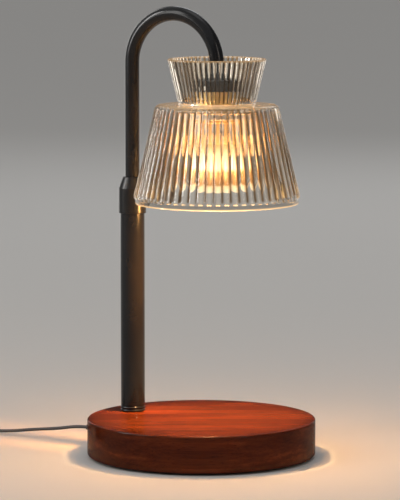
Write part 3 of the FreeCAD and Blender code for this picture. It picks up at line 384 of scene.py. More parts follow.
def clear_glass(sizes):
    """Pressed glass: clear on the crests of its reeds, with painted shade in the valleys between them and on
    the ledge, a darker plain band at its foot, and the slow waves that the mould leaves.
    Its edges, ledge and valleys carry a painted glow of the bulb's light, brightest as a painted highlight
    along the bottom edge."""
    s = Shader("pressed_glass")
    # colours: clear glass, painted shade for the reed valleys, the ledge and the foot band, no glow, and
    # painted glow
    clear, painted_shade = (1.0, 0.96, 0.88), (0.10, 0.05, 0.018)
    dark, lit = (0.0, 0.0, 0.0), (1.0, 0.60, 0.24)
    shoulder = sizes.shoulder_height
    angle = s.math("ARCTAN2", s.along(1), s.along(0) - SHADE_X)
    across = (angle * (sizes.reeds / math.tau) + sizes.reeds).fraction() * 2 - 1
    height = s.along(2)
    bell = s.span(height, GLASS_LOW + 0.004, GLASS_LOW + 0.006)
    bell = bell * (1 - s.span(height, shoulder - 0.0036, shoulder - 0.0016))
    crown = s.span(height, shoulder + 0.0015, shoulder + 0.003)
    # painted shade and painted glow in the valleys between the reeds
    painted_valley = s.span(across**2, 0.04, 0.80) * (bell + crown)
    low_edge = 1 - s.span(height, GLASS_LOW + 0.0005, GLASS_LOW + 0.0014)
    high_edge = s.span(height, GLASS_HIGH - 0.0014, GLASS_HIGH - 0.0005)
    ledge = s.span(height, shoulder - 0.0012, shoulder - 0.0002)
    ledge = ledge * (1 - s.span(height, shoulder + 0.0003, shoulder + 0.0012))
    # painted glow of the bulb's light: a painted highlight along the bottom edge, and glow at the mouth, on
    # the ledge and in the valleys
    painted_glow = low_edge * 0.9 + high_edge * 0.35 + ledge * 0.26 + painted_valley * (bell * 0.06 + crown * 0.02)
    band = (1 - s.span(height, GLASS_LOW + 0.0030, GLASS_LOW + 0.0045)) * 0.35
    waves = s.noise((150, 150, 38), distortion=0.5)
    return s.finish(
        Base_Color=s.mix(painted_valley + band + ledge * 0.35, clear, painted_shade),
        Roughness=0.015,
        IOR=1.50,
        Transmission_Weight=1.0,
        Normal=s.bump(waves, 0.0004, 0.4),
        Emission_Color=s.mix(painted_glow, dark, lit),
        Emission_Strength=0.6,
    )


def bulb_glass(name, stops, strength, roughness, pebble=0.0):
    """Glowing glass of the bulb, also used for the painted glow on its ceramic cap: the glow follows the
    height, from the first stop to the last.
    """
    s = Shader(name)
    heights = [z for z, _ in stops]
    low, high = min(heights), max(heights)
    share = s.span(s.along(2), low, high)
    even = [((z - low) / (high - low), colour) for z, colour in stops]
    facets = s.noise(520, detail=1.0)
    return s.finish(
        Base_Color=(0.10, 0.085, 0.06),
        Roughness=roughness,
        Normal=s.bump(facets, 0.0003 * pebble, 0.5 if pebble else 0.0),
        Emission_Color=s.ramp(share, *even),
        Emission_Strength=strength,
    )


def quartz():
    """Clear quartz of the halogen capsule."""
    s = Shader("quartz_capsule")
    return s.finish(
        Base_Color=(1.0, 0.97, 0.92),
        Roughness=0.02 + s.noise(200, detail=1.0) * 0.03,
        IOR=1.46,
        Transmission_Weight=1.0,
    )


def hot_wire(finish):
    """Glowing tungsten."""
    s = Shader("tungsten_filament")
    return s.finish(
        Base_Color=(0.3, 0.3, 0.3),
        Roughness=0.4 + s.noise(900, detail=1.0) * 0.1,
        Emission_Color=finish.glow,
        Emission_Strength=40.0,
    )


def jacket():
    """Soft black jacket of the lead, a little dusty along its sides."""
    s = Shader("lead_jacket")
    cloud = s.noise(220, detail=3.0)
    return s.finish(
        Base_Color=s.mix(cloud, (0.010, 0.010, 0.010), (0.024, 0.023, 0.022)),
        Roughness=0.44 + cloud * 0.14,
        Normal=s.bump(s.noise(1800), 0.00002, 0.5),
    )


def pale(name, colour):
    """Matt pale paint of the studio's floor, a little uneven."""
    s = Shader(name)
    cloud = s.noise(1.2, detail=3.0)
    return s.finish(
        Base_Color=s.mix(cloud * 0.5, colour, tuple(c * 0.97 for c in colour)),
        Roughness=0.7,
        Specular_IOR_Level=0.0,
    )


# ------------------------ mesh helpers
def rounded(corners, segments=5):
    """Outline points from (x, y) or (x, y, radius) corners: a corner with a radius becomes an arc.
    A point a little before and after each arc keeps the shading of the flats beside it even."""
    points = []
    count = len(corners)
    for k, corner in enumerate(corners):
        here = Vector(corner[:2])
        if len(corner) == 2:
            points.append(here)
            continue
        back = (Vector(corners[k - 1][:2]) - here).normalized()
        ahead = (Vector(corners[(k + 1) % count][:2]) - here).normalized()
        half = back.angle(ahead) / 2
        reach = corner[2] / math.tan(half)
        centre = here + (back + ahead).normalized() * (corner[2] / math.sin(half))
        start = here + back * reach
        end = here + ahead * reach
        points.append(here + back * reach * 1.15)
        for n in range(segments + 1):
            spoke = (start - centre).slerp(end - centre, n / segments)
            points.append(centre + spoke * corner[2])
        points.append(here + ahead * reach * 1.15)
    return points


def added(name, data):
    """A new object in the scene for a mesh, curve, camera or light."""
    item = bpy.data.objects.new(name, data)
    bpy.context.scene.collection.objects.link(item)
    return item


def finished(name, bm, material, body, replaces=(), sharp=math.radians(32)):
    """Turns a bmesh into a piece: doubles merged, faces outwards, smooth but for its sharp edges."""
    bmesh.ops.remove_doubles(bm, verts=bm.verts, dist=1e-7)
    bmesh.ops.recalc_face_normals(bm, faces=bm.faces)
    mesh = bpy.data.meshes.new(name)
    bm.to_mesh(mesh)
    bm.free()
    mesh.shade_smooth()
    mesh.set_sharp_from_angle(angle=sharp)
    mesh.materials.append(material)
    return dressed(added(name, mesh), body, replaces)


def dressed(piece, body, replaces=()):
    """Parents a piece to its body's empty and hides the CAD nodes that it stands for."""
    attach(piece, body)
    if replaces:
        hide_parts(*replaces)
    return piece


def turned(outline, x=0.0, steps=128, angle=math.tau):
    """A bmesh spun from a closed outline of (radius, height) about the vertical line through x.
    A run of the outline along that line is left out, because it sweeps no face."""
    bm = bmesh.new()
    corners = [bm.verts.new((x + r, 0, z)) for r, z in outline]
    pairs = zip(corners, corners[1:] + corners[:1])
    edges = [bm.edges.new(pair) for pair in pairs if max(vert.co.x for vert in pair) > x]
    whole = angle == math.tau
    bmesh.ops.spin(
        bm, geom=corners + edges, cent=(x, 0, 0), axis=UP, angle=angle, steps=steps, use_merge=whole
    )
    return bm


def repaint(material, *nodes):
    """Gives CAD nodes that keep their shape a material."""
    for name in nodes:
        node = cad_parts[name]
        if not node.material_slots:
            raise RuntimeError(f"{name} has no material slot")
        for place in node.material_slots:
            place.material = material


# ------------------------ stage
AIM = Vector((0, 0, 0.15))  # middle of the lamp, which the softboxes face
# Name, place, width and height in metres, watts, colour, and whether matt surfaces are lit too.
SOFTBOXES = (
    ("key", (-1.1, -1.7, 1.2), (0.40, 1.6), 12.0, (1.0, 0.98, 0.95), True),
    ("fill", (2.0, -0.5, 0.8), (0.25, 1.2), 5.0, (1.0, 0.90, 0.80), True),
    ("back", (-0.9, 1.9, 1.3), (0.8, 0.8), 4.0, (0.95, 0.97, 1.0), True),
    ("top", (0.1, 0.2, 2.2), (1.0, 1.0), 3.0, (1.0, 1.0, 1.0), True),
    ("side_strip", (-1.6, -1.2, 0.85), (0.35, 1.2), 22.0, (1.0, 0.98, 0.96), False),
    ("left_strip", (-1.01, 0.65, 0.5), (0.25, 1.0), 1.8, (1.0, 0.97, 0.92), False),
    ("right_strip", (-0.16, 1.19, 0.5), (0.20, 1.0), 1.0, (1.0, 0.97, 0.92), False),
)


class LampStage(bpy.types.Operator):
    """Camera, soft studio lights, pale floor and world"""

    bl_idname = "lamp.stage"
    bl_label = "Stage"

    def execute(self, context):
        context.scene.camera = self.camera()
        context.scene.world = self.world()
        self.floor()
        self.daylight()
        for softbox in SOFTBOXES:
            self.softbox(*softbox)
        context.scene.view_settings.view_transform = "Standard"
        return {"FINISHED"}

    def camera(self):
        """Long lens from the front right, a little above the lamp's top and tilted down."""
        distance, height, azimuth, pitch = 2.115, 0.376, math.radians(32.5), math.radians(6.46)
        data = bpy.data.cameras.new("camera")
        data.sensor_width = 36.0
        data.lens = 234.3
        data.shift_x = -0.0026
        camera = added("camera", data)
        camera.location = (distance * math.sin(azimuth), -distance * math.cos(azimuth), height)
        camera.rotation_euler = (math.pi / 2 - pitch, 0, azimuth)
        return camera

    def floor(self):
        """Round floor so wide that its edge lies on the horizon."""
        bm = bmesh.new()
        bmesh.ops.create_circle(bm, cap_ends=True, segments=96, radius=60.0)
        mesh = bpy.data.meshes.new("floor")
        bm.to_mesh(mesh)
        bm.free()
        mesh.materials.append(pale("studio_floor", (0.69, 0.67, 0.64)))
        added("floor", mesh)

    def world(self):
        """Even sky, dim where it lights the lamp and as bright as the far floor where it is seen."""
        dim, bright = 0.16, 0.34
        world = bpy.data.worlds.new("studio")
        world.use_nodes = True
        nodes, links = world.node_tree.nodes, world.node_tree.links
        rays = nodes.new("ShaderNodeLightPath")
        seen = nodes.new("ShaderNodeMath")
        seen.operation = "MAXIMUM"
        strength = nodes.new("ShaderNodeMapRange")
        strength.inputs["To Min"].default_value = dim
        strength.inputs["To Max"].default_value = bright
        background = nodes["Background"]
        background.inputs["Color"].default_value = (0.80, 0.82, 0.85, 1.0)
        links.new(rays.outputs["Is Camera Ray"], seen.inputs[0])
        links.new(rays.outputs["Is Transmission Ray"], seen.inputs[1])
        links.new(seen.outputs[0], strength.inputs["Value"])
        links.new(strength.outputs["Result"], background.inputs["Strength"])
        return world

    def daylight(self):
        """Very wide sun that lights the floor alike near and far."""
        data = bpy.data.lights.new("daylight", "SUN")
        data.energy = 0.76
        data.angle = math.radians(120)
        light = added("daylight", data)
        light.rotation_euler = (math.radians(20), math.radians(-15), 0)

    def softbox(self, name, place, size, power, colour, on_matt):
        """A flat light turned to the lamp. Off matt surfaces, it shows only in gloss and through glass."""
        data = bpy.data.lights.new(name, "AREA")
        data.shape = "RECTANGLE"
        data.size, data.size_y = size
        data.energy = power
        data.color = colour
        light = added(name, data)
        light.location = place
        light.rotation_euler = (AIM - light.location).to_track_quat("-Z", "Y").to_euler()
        light.visible_camera = False
        light.visible_diffuse = on_matt


# ------------------------ lead
COIL = middle("cord_coil")
EXIT = Vector((box("cord_relief")[0].x, 0, middle("cord_relief").z))


def lead(name, points, diameter, material):
    """A cord as one smooth line of even thickness through its route."""
    curve = bpy.data.curves.new(name, "CURVE")
    curve.dimensions = "3D"
    curve.bevel_depth = diameter / 2
    curve.bevel_resolution = 5
    curve.resolution_u = 6
    curve.use_fill_caps = True
    spline = curve.splines.new("NURBS")
    spline.points.add(len(points) - 1)
    for point, place in zip(spline.points, points):
        point.co = (*place, 1.0)
    spline.order_u = 3
    spline.use_endpoint_u = True
    curve.materials.append(material)
    return added(name, curve)


def coil_turns(sizes, turns=19.25, per_turn=16, shift=0.25):
    """Control points of the wound lead. It starts at the coil's +Y side, in the outermost place of the
    lowest layer, ends at its -X side in the top one, and shifts over or up early in each turn."""
    d = sizes.cord_diameter
    columns = sizes.coil_columns
    outermost = sizes.coil_radius + (columns - 1) / 2 * d
    pull = 0.75 + 0.25 * math.cos(math.tau / per_turn)  # the line passes inside its points by this share

    def slot_of(turn):
        """Radius and height of a turn's place in the winding."""
        layer, step = divmod(max(turn, 0), columns)
        column = step if layer % 2 == 0 else columns - 1 - step
        return outermost - column * d, (layer + 0.5) * d

    points = []
    for n in range(1, round(turns * per_turn) + 1):
        turn, part = divmod(n / per_turn, 1.0)
        blend = min(1.0, part / shift)
        blend = blend * blend * (3 - 2 * blend)
        before = slot_of(int(turn) - 1)
        now = slot_of(int(turn))
        radius, height = (a + (b - a) * blend for a, b in zip(before, now))
        angle = math.pi / 2 + math.tau * n / per_turn
        reach = radius / pull
        points.append((COIL.x + reach * math.cos(angle), COIL.y + reach * math.sin(angle), height))
    return points


class LampLead(bpy.types.Operator):
    """The free lead: relief to coil to dimmer, and dimmer to plug"""

    bl_idname = "lamp.lead"
    bl_label = "Lead"

    def execute(self, context):
        sizes = context.scene.lamp_sizes
        d = sizes.cord_diameter
        outer = sizes.coil_radius + (sizes.coil_columns - 1) / 2 * d
        black = jacket()
        to_coil = [
            tuple(EXIT),
            (-0.0990, 0.0000, 0.0110),
            (-0.1150, 0.0004, 0.0079),
            (-0.1350, 0.0001, 0.0055),
            (-0.1580, -0.0012, 0.0022),
            (-0.1800, 0.0006, 0.0011),
            (COIL.x, COIL.y + outer * 1.01, 0.0011),
        ]
        to_dimmer = [
            (-0.2170, -0.0242, 0.0073),
            (-0.2180, -0.0336, 0.0044),
            (-0.2163, -0.0452, 0.0016),
            (-0.2073, -0.0540, 0.0046),
            (-0.1940, -0.0540, 0.0050),
        ]
        first = lead("lead_to_dimmer", to_coil + coil_turns(sizes) + to_dimmer, d, black)
        dressed(first, "stand", ("cord_to_coil", "cord_coil", "cord_to_dimmer"))
        to_plug = [
            (-0.1480, -0.0540, 0.0050),
            (-0.1345, -0.0540, 0.0050),
            (-0.1255, -0.0650, 0.0020),
            (-0.1295, -0.0795, 0.0016),
            (-0.1425, -0.0870, 0.0052),
            (-0.1600, -0.0870, 0.0080),
        ]
        second = lead("lead_to_plug", to_plug, d, black)
        dressed(second, "stand", ("cord_to_plug",))
        return {"FINISHED"}


# ------------------------ base and stand
class LampBase(bpy.types.Operator):
    """Turned mahogany base with its underside, cover, feet and inner fixings"""

    bl_idname = "lamp.base"
    bl_label = "Base"

    def execute(self, context):
        sizes = context.scene.lamp_sizes
        finish = context.scene.lamp_finish
        low, high = box("wood_base")
        recess = radius_of("base_cover") + 0.0003
        cover_top = box("base_cover")[1].z
        pocket_top = box("ballast_plate")[1].z
        r, edge = high.x, sizes.wood_edge
        pocket = 0.050
        outline = rounded(
            [
                (0, high.z),
                (r, high.z, edge),
                (r, low.z, edge * 1.2),
                (recess, low.z),
                (recess, cover_top),
                (pocket, cover_top),
                (pocket, pocket_top),
                (0, pocket_top),
            ],
            6,
        )
        wood = mahogany(finish)
        finished("wood_base_turned", turned(outline, steps=192), wood, "stand", ("wood_base",))
        repaint(board("fibreboard_cover", (0.045, 0.028, 0.018), (0.13, 0.09, 0.06)), "base_cover")
        zinc = metal("zinc_plated_steel", (0.62, 0.62, 0.60))
        repaint(zinc, "cover_screws", "ballast_screws", "pole_nipple", "pole_washer", "pole_nut")
        rubber = moulded("rubber_feet", (0.020, 0.020, 0.020), roughness=0.7, grain=900, depth=0.00004)
        repaint(rubber, "rubber_feet")
        primer = enamel("ballast_primer", (0.030, 0.032, 0.034), roughness=0.6, grain=300, depth=0.0001)
        repaint(primer, "ballast_plate")
        return {"FINISHED"}


class LampStand(bpy.types.Operator):
    """Lower pole, its beaded foot, the twist collar and the sliding gooseneck"""

    bl_idname = "lamp.stand"
    bl_label = "Stand"

    def execute(self, context):
        sizes = context.scene.lamp_sizes
        finish = context.scene.lamp_finish
        black = enamel("black_enamel", finish.enamel)
        self.foot(black)
        self.pole(black)
        self.collar(enamel("collar_enamel", finish.enamel, roughness=0.28))
        self.gooseneck(sizes, black)
        repaint(metal("turned_brass", (0.72, 0.50, 0.22)), "pole_ferrule")
        repaint(moulded("nylon", (0.75, 0.73, 0.68), roughness=0.4), "collet", "guide_bush")
        repaint(metal("stop_ring_steel", (0.55, 0.55, 0.54)), "stop_rings")
        return {"FINISHED"}

    def foot(self, black):
        """Two half-round beads that the pole stands on."""
        seat = box("wood_base")[1].z
        top = box("lower_pole")[0].z
        outer = radius_of("pole_foot")
        groove, bore, spigot = outer - 0.0006, outer - 0.0025, outer - 0.0018
        sunk, spigot_top = seat - 0.0006, top + 0.009
        beads, steps, fullness = 2, 8, 0.92
        bead = (top - seat) / beads
        outline = [(bore, sunk), (groove, sunk)]
        for k in range(beads):
            centre = seat + (k + 0.5) * bead
            for n in range(steps + 1):
                angle = math.pi * (n / steps - 0.5)
                rise = fullness * bead / 2 * math.sin(angle)
                outline.append((groove + (outer - groove) * math.cos(angle), centre + rise))
        outline += [(spigot, top), (spigot, spigot_top), (bore, spigot_top)]
        finished("pole_foot_beads", turned(outline, POLE_X), black, "stand", ("pole_foot",))

    def pole(self, black):
        """Plain tube with softened ends."""
        low, high = box("lower_pole")
        r, wall, edge = radius_of("lower_pole"), 0.0015, 0.0003
        bore = r - wall
        outline = rounded([(bore, low.z), (r, low.z, edge), (r, high.z, edge), (bore, high.z)], 3)
        tube = turned(outline, POLE_X, steps=96)
        finished("pole_tube", tube, black, "stand", ("lower_pole",))

    def collar(self, black):
        """Straight shroud and a cone above it that grips the sliding tube."""
        low, high = box("collar_nut")
        r = radius_of("collar_nut")
        shoulder, nose = low.z + 0.0166, 0.00635
        bore, tube_bore = 0.00805, 0.00505
        outline = rounded(
            [
                (bore, low.z),
                (r, low.z, 0.0005),
                (r, shoulder, 0.0004),
                (nose, high.z, 0.0004),
                (tube_bore, high.z, 0.0001),
                (tube_bore, high.z - 0.0030),
                (0.0072, shoulder - 0.0012),
                (bore, shoulder - 0.0070),
            ]
        )
        shell = turned(outline, POLE_X, steps=96)
        finished("twist_collar_shell", shell, black, "twist_collar", ("collar_nut",))

    def gooseneck(self, sizes, black):
        """A ring of the tube's section, drawn up the leg, round the bend and down into the lampholder."""
        low, high = box("arm_tube")
        bend = (SHADE_X - POLE_X) / 2
        arch_z = high.z - bend - sizes.tube_radius
        end_z = box("holder_cup")[1].z - 0.0055
        bm = bmesh.new()
        inner = sizes.tube_radius - sizes.tube_wall
        rings = []
        for radius in (sizes.tube_radius, inner):
            place = Matrix.Translation((POLE_X, 0, low.z))
            made = bmesh.ops.create_circle(bm, segments=48, radius=radius, matrix=place)
            rings.append(list({edge for vert in made["verts"] for edge in vert.link_edges}))
        bmesh.ops.bridge_loops(bm, edges=rings[0] + rings[1])
        walls = rings[0] + rings[1]
        walls = self.drawn(bm, walls, UP * (arch_z - low.z), steps=24)
        spun = bmesh.ops.spin(
            bm,
            geom=walls,
            cent=(POLE_X + bend, 0, arch_z),
            axis=(0, 1, 0),
            angle=math.pi,
            steps=72,
        )
        walls = [item for item in spun["geom_last"] if isinstance(item, bmesh.types.BMEdge)]
        walls = self.drawn(bm, walls, UP * (end_z - arch_z), steps=2)
        bmesh.ops.bridge_loops(bm, edges=walls)
        finished("gooseneck_tube", bm, black, "arm", ("arm_tube",))

    def drawn(self, bm, edges, reach, steps):
        """Extrudes loops of edges along a straight line, and returns the new loops."""
        for _ in range(steps):
            made = bmesh.ops.extrude_edge_only(bm, edges=edges)["geom"]
            verts = [item for item in made if isinstance(item, bmesh.types.BMVert)]
            bmesh.ops.translate(bm, verts=verts, vec=reach / steps)
            moved = set(verts)
            edges = [
                item for item in made if isinstance(item, bmesh.types.BMEdge) and set(item.verts) <= moved
            ]
        return edges


# ------------------------ lampholder, glass and bulb
class LampHolder(bpy.types.Operator):
    """Black cup inside the crown, and the fittings between tube, cup, ceramic and glass"""

    bl_idname = "lamp.holder"
    bl_label = "Lampholder"

    def execute(self, context):
        black = bpy.data.materials["black_enamel"]
        zinc = bpy.data.materials["zinc_plated_steel"]
        low, high = box("holder_cup")
        r, wall, bore = radius_of("holder_cup"), 0.001, 0.0048
        outline = rounded(
            [
                (r - wall, low.z),
                (r, low.z, 0.0003),
                (r, high.z, 0.0008),
                (bore, high.z),
                (bore, high.z - wall),
                (r - wall, high.z - wall),
            ]
        )
        cap = turned(outline, SHADE_X, steps=96)
        finished("spun_cap", cap, black, "arm", ("holder_cup",))
        repaint(black, "cap_collar")
        nickel = metal("satin_nickel", (0.58, 0.56, 0.53), roughness=0.24)
        repaint(nickel, "shade_ring", "grub_screw")
        repaint(zinc, "tube_nut", "holder_bracket", "bracket_screws", "cup_screws")
        ceramic = moulded(
            "ceramic", (0.74, 0.71, 0.66), roughness=0.25, grain=500, depth=0.00003, spread=1.15
        )
        repaint(ceramic, "socket_ceramic")
        repaint(bpy.data.materials["turned_brass"], "socket_contacts", "holder_sleeve")
        silicone = moulded(
            "silicone", (0.62, 0.60, 0.56), roughness=0.5, grain=600, depth=0.00002, spread=1.2
        )
        repaint(silicone, "shade_gaskets")
        sleeve = moulded(
            "lead_sleeve", (0.60, 0.56, 0.48), roughness=0.5, grain=1500, depth=0.00004, spread=1.2
        )
        repaint(sleeve, "arm_lead", "base_lead")
        repaint(moulded("terminal_nylon", (0.70, 0.69, 0.64), roughness=0.4), "terminal_block")
        repaint(jacket(), "inner_cord")
        return {"FINISHED"}


class LampShade(bpy.types.Operator):
    """Two-tier reeded glass shade"""

    bl_idname = "lamp.shade"
    bl_label = "Glass shade"

    def execute(self, context):
        sizes = context.scene.lamp_sizes
        bm = turned(self.outline(sizes), SHADE_X, steps=10, angle=math.tau / sizes.reeds)
        self.raise_reeds(bm, sizes)
        bmesh.ops.spin(
            bm,
            geom=bm.verts[:] + bm.edges[:] + bm.faces[:],
            cent=(SHADE_X, 0, 0),
            axis=UP,
            angle=math.tau * (1 - 1 / sizes.reeds),
            steps=sizes.reeds - 1,
            use_duplicate=True,
        )
        glass, sharp = clear_glass(sizes), math.radians(60)
        piece = finished("reeded_glass", bm, glass, "arm", ("glass_shade",), sharp)
        piece.visible_shadow = False  # so that the bulb lights the base through the glass
        return {"FINISHED"}

    def tiers(self, sizes):
        """For each tier: where its reeds start and end, their height, and the length of their two tips."""
        shoulder, reed = sizes.shoulder_height, sizes.reed_height
        bell = (GLASS_LOW + 0.0034, shoulder - 0.0003, reed, 0.0018, 0.0016)
        crown = (shoulder + 0.0014, GLASS_HIGH - 0.0003, reed * 0.65, 0.0020, 0.0006)
        return bell, crown

    def outline(self, sizes):
        """Wall of the glass without its reeds: a closed loop, up its outside and back down its inside."""
        rim, h = radius_of("glass_shade"), sizes.reed_height
        wall, shoulder = sizes.glass_wall, sizes.shoulder_height
        (bell_low, *_), (crown_low, crown_high, crown_h, *_) = self.tiers(sizes)
        slope = (rim - sizes.shoulder_radius) / (shoulder - 0.0022 - bell_low)
        top_r = sizes.shoulder_radius - h * 0.9
        outside = rounded(
            [
                (rim - h - wall + 0.0006, GLASS_LOW, 0.0006),
                (rim - h - 0.0003, GLASS_LOW, 0.0010),
                (rim - h, bell_low, 0.0001),
                (rim - h - slope * 0.002, bell_low + 0.002),
            ]
        )[:-1]
        outside += self.rows((rim - h, bell_low), (top_r, shoulder - 0.0015), fine=10, even=26)
        outside += self.shoulder(top_r, slope, sizes)
        neck_r, mouth_r = sizes.neck_radius - crown_h, sizes.mouth_radius - crown_h
        outside += self.rows((neck_r, crown_low), (mouth_r, crown_high), fine=6, even=16)
        inside_mouth = sizes.mouth_radius - wall
        sleeve_hole = 0.0145
        inside = rounded(
            [
                (mouth_r - 0.0002, GLASS_HIGH, 0.0003),
                (inside_mouth, GLASS_HIGH, 0.0006),
                (sizes.neck_radius - wall, FLOOR_TOP, 0.0020),
                (sleeve_hole, FLOOR_TOP, 0.0003),
                (sleeve_hole, FLOOR_UNDER, 0.0003),
                (sizes.shoulder_radius - wall, FLOOR_UNDER, 0.0024),
            ]
        )
        return [tuple(point) for point in outside + inside]

    def shoulder(self, top_r, slope, sizes):
        """Rounded edge of the bell, the flat ledge, and the small cove at the crown's foot."""
        shoulder, edge, lean, steps = sizes.shoulder_height, 0.0012, 8, 8
        centre_r, centre_z = top_r - edge - slope * 0.001, shoulder - edge
        arc = [
            Vector((centre_r + edge * math.cos(a), centre_z + edge * math.sin(a)))
            for a in (math.radians(lean + (90 - lean) * n / steps) for n in range(steps + 1))
        ]
        cove, foot_r, steps = 0.0010, sizes.neck_radius - 0.0002, 5
        ledge = [Vector((foot_r + cove * 3, shoulder)), Vector((foot_r + cove * 1.2, shoulder))]
        hollow = [
            Vector((foot_r + cove - cove * math.sin(a), shoulder + cove - cove * math.cos(a)))
            for a in (math.radians(90 * n / steps) for n in range(1, steps + 1))
        ]
        return arc + ledge + hollow

    def rows(self, low, high, fine, even):
        """Points of a straight wall, close together at its two ends where the reeds run out."""
        (r0, z0), (r1, z1) = low, high
        end = 0.10
        shares = [end * (n / fine) for n in range(fine)]
        shares += [end + (1 - 2 * end) * n / even for n in range(even)]
        shares += [1 - end + end * n / fine for n in range(fine + 1)]
        return [Vector((r0 + (r1 - r0) * t, z0 + (z1 - z0) * t)) for t in shares]

    def raise_reeds(self, bm, sizes):
        """Pushes the outer wall out into convex reeds that end in rounded tips."""
        reeds = sizes.reeds
        for (low, high, height, foot, head), (low_r, high_r) in zip(self.tiers(sizes), self.walls(sizes)):
            for vert in bm.verts:
                z = vert.co.z
                if not low <= z <= high:
                    continue
                across = Vector((vert.co.x - SHADE_X, vert.co.y))
                radius = across.length
                if radius < low_r + (high_r - low_r) * (z - low) / (high - low):
                    continue
                share = math.atan2(across.y, across.x) / math.tau * reeds
                side = 2 * (share - math.floor(share)) - 1
                tip = max(0.0, (low + foot - z) / foot, (z - high + head) / head)
                across *= (radius + height * max(0.0, 1 - side * side - tip * tip)) / radius
                vert.co.x, vert.co.y = SHADE_X + across.x, across.y

    def walls(self, sizes):
        """For each tier: the radius inside its wall, between its two faces, at its foot and at its top."""
        rim = radius_of("glass_shade")
        bell = (rim - 0.0026, sizes.shoulder_radius - 0.0026)
        crown = (sizes.neck_radius - 0.0022, sizes.mouth_radius - 0.0022)
        return bell, crown


class LampBulb(bpy.types.Operator):
    """Lit reflector bulb: bowl, lens, ceramic cap, capsule and filament"""

    bl_idname = "lamp.bulb"
    bl_label = "Bulb"

    def execute(self, context):
        finish = context.scene.lamp_finish
        low, high = box("bulb_reflector")
        bands = [
            (0.0, (1.0, 0.84, 0.56)),
            (0.0030, (1.0, 0.74, 0.42)),
            (0.0045, (0.20, 0.085, 0.025)),
            (0.0125, (0.32, 0.16, 0.05)),
            (0.0150, (1.0, 0.86, 0.60)),
            (0.0245, (0.95, 0.76, 0.44)),
            (high.z - low.z, (0.60, 0.34, 0.09)),
        ]
        stops = [(low.z + rise, colour) for rise, colour in bands]
        lit = bulb_glass("lit_reflector", stops, strength=1.1, roughness=0.2, pebble=1.0)
        self.reflector(low, high, lit)
        stops = [(low.z, finish.glow), (high.z, finish.glow)]
        self.lens(bulb_glass("lit_lens", stops, finish.bulb_strength, roughness=0.3))
        # the ceramic cap is no light source: its warm glow is painted light from the bulb
        cap_low, cap_high = box("bulb_base")
        stops = [(cap_low.z, (0.62, 0.32, 0.07)), (cap_high.z, (0.30, 0.10, 0.02))]
        self.cap(bulb_glass("painted_glow_cap", stops, strength=1.0, roughness=0.4))
        self.light(finish)
        repaint(metal("nickel_pins", (0.62, 0.60, 0.56)), "bulb_pins")
        repaint(quartz(), "bulb_capsule")
        repaint(hot_wire(finish), "bulb_filament")
        return {"FINISHED"}

    def light(self, finish):
        """The bulb's beam down to the base, the warm light that leaks round its reflector and spills from
        under it, and the glow that this leaves along the pole and the tube."""
        power = finish.bulb_power
        lens = Vector((SHADE_X, 0, box("bulb_lens")[0].z))
        aim_x = 0.003  # between the shade's line and the base's middle, so that the pool stays on the wood
        beam = self.spot("bulb_beam", math.radians(56), blend=0.15)
        place = lens - UP * 0.010
        aim = Vector((aim_x, 0, box("wood_base")[1].z)) - place
        self.lamp(beam, power, finish.glow, 0.009, place, aim)
        leaks, reach = 6, radius_of("bulb_reflector") + 0.006
        middle_z = box("bulb_reflector")[0].z + 0.0215
        for k in range(leaks):
            angle = math.tau * (k + 0.5) / leaks
            place = (SHADE_X + reach * math.cos(angle), reach * math.sin(angle), middle_z)
            leak = bpy.data.lights.new("bulb_leak", "POINT")
            self.lamp(leak, power * 0.045, (1.0, 0.48, 0.15), 0.009, place)
        spill = bpy.data.lights.new("bulb_spill", "POINT")
        under = lens - UP * 0.014
        self.lamp(spill, power * 0.15, (1.0, 0.48, 0.14), 0.008, under)
        for name, place, aim, share in (
            ("glow_on_pole", under, (POLE_X - SHADE_X, 0, -0.075), 0.9),
            ("glow_on_tube", (SHADE_X - reach, 0, middle_z), (-1, 0, 0.25), 0.12),
        ):
            glow = self.spot(name, math.radians(84), blend=1.0)
            self.lamp(glow, power * share, (1.0, 0.36, 0.07), 0.016, place, Vector(aim), width=0.25)

    def spot(self, name, angle, blend):
        """Data of a light that shines in a cone, with an edge as soft as its blend."""
        data = bpy.data.lights.new(name, "SPOT")
        data.spot_size = angle
        data.spot_blend = blend
        return data

    def lamp(self, data, power, colour, size, place, aim=-UP, width=1.0):
        """A light that moves with the arm, and that neither the camera nor the glass shows as a disc.
        A width under 1 makes the cone of a spot narrower sideways."""
        data.energy = power
        data.color = colour
        data.shadow_soft_size = size
        light = added(data.name, data)
        light.location = place
        light.rotation_euler = aim.to_track_quat("-Z", "Y").to_euler()
        light.scale.x = width
        light.visible_transmission = False
        light.visible_camera = False
        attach(light, "arm")

    def reflector(self, low, high, glow):
        """Bowl of the bulb, as wide as its rim below and as narrow as its cap above."""
        r, neck_r, rows, wall, swell = radius_of("bulb_reflector"), 0.0104, 18, 0.0011, 0.62
        band = low.z + 0.0032
        outer, inner = [], []
        for n in range(rows + 1):
            t = n / rows
            radius = neck_r + (r - 0.001 - neck_r) * t**swell
            z = high.z - (high.z - band) * t
            outer.append((radius, z))
            inner.append((radius - wall, z))
        rim = rounded([(r, band - 0.0004, 0.0005), (r, low.z, 0.0005), (r - 0.0009, low.z)], 4)
        seat = [(r - 0.0009, low.z + 0.002), (r - 0.0023, low.z + 0.002)]
        outline = outer + [tuple(p) for p in rim] + seat + inner[::-1]
        bowl = turned(outline, SHADE_X, steps=96)
        finished("reflector_bowl", bowl, glow, "arm", ("bulb_reflector",))

    def lens(self, glow):
        """Flat window of the bulb with a softened edge."""
        low, high = box("bulb_lens")
        r = radius_of("bulb_lens")
        outline = rounded([(0, low.z), (r, low.z, 0.0006), (r, high.z, 0.0001), (0, high.z)], 4)
        window = turned(outline, SHADE_X, steps=96)
        finished("bulb_window", window, glow, "arm", ("bulb_lens",))

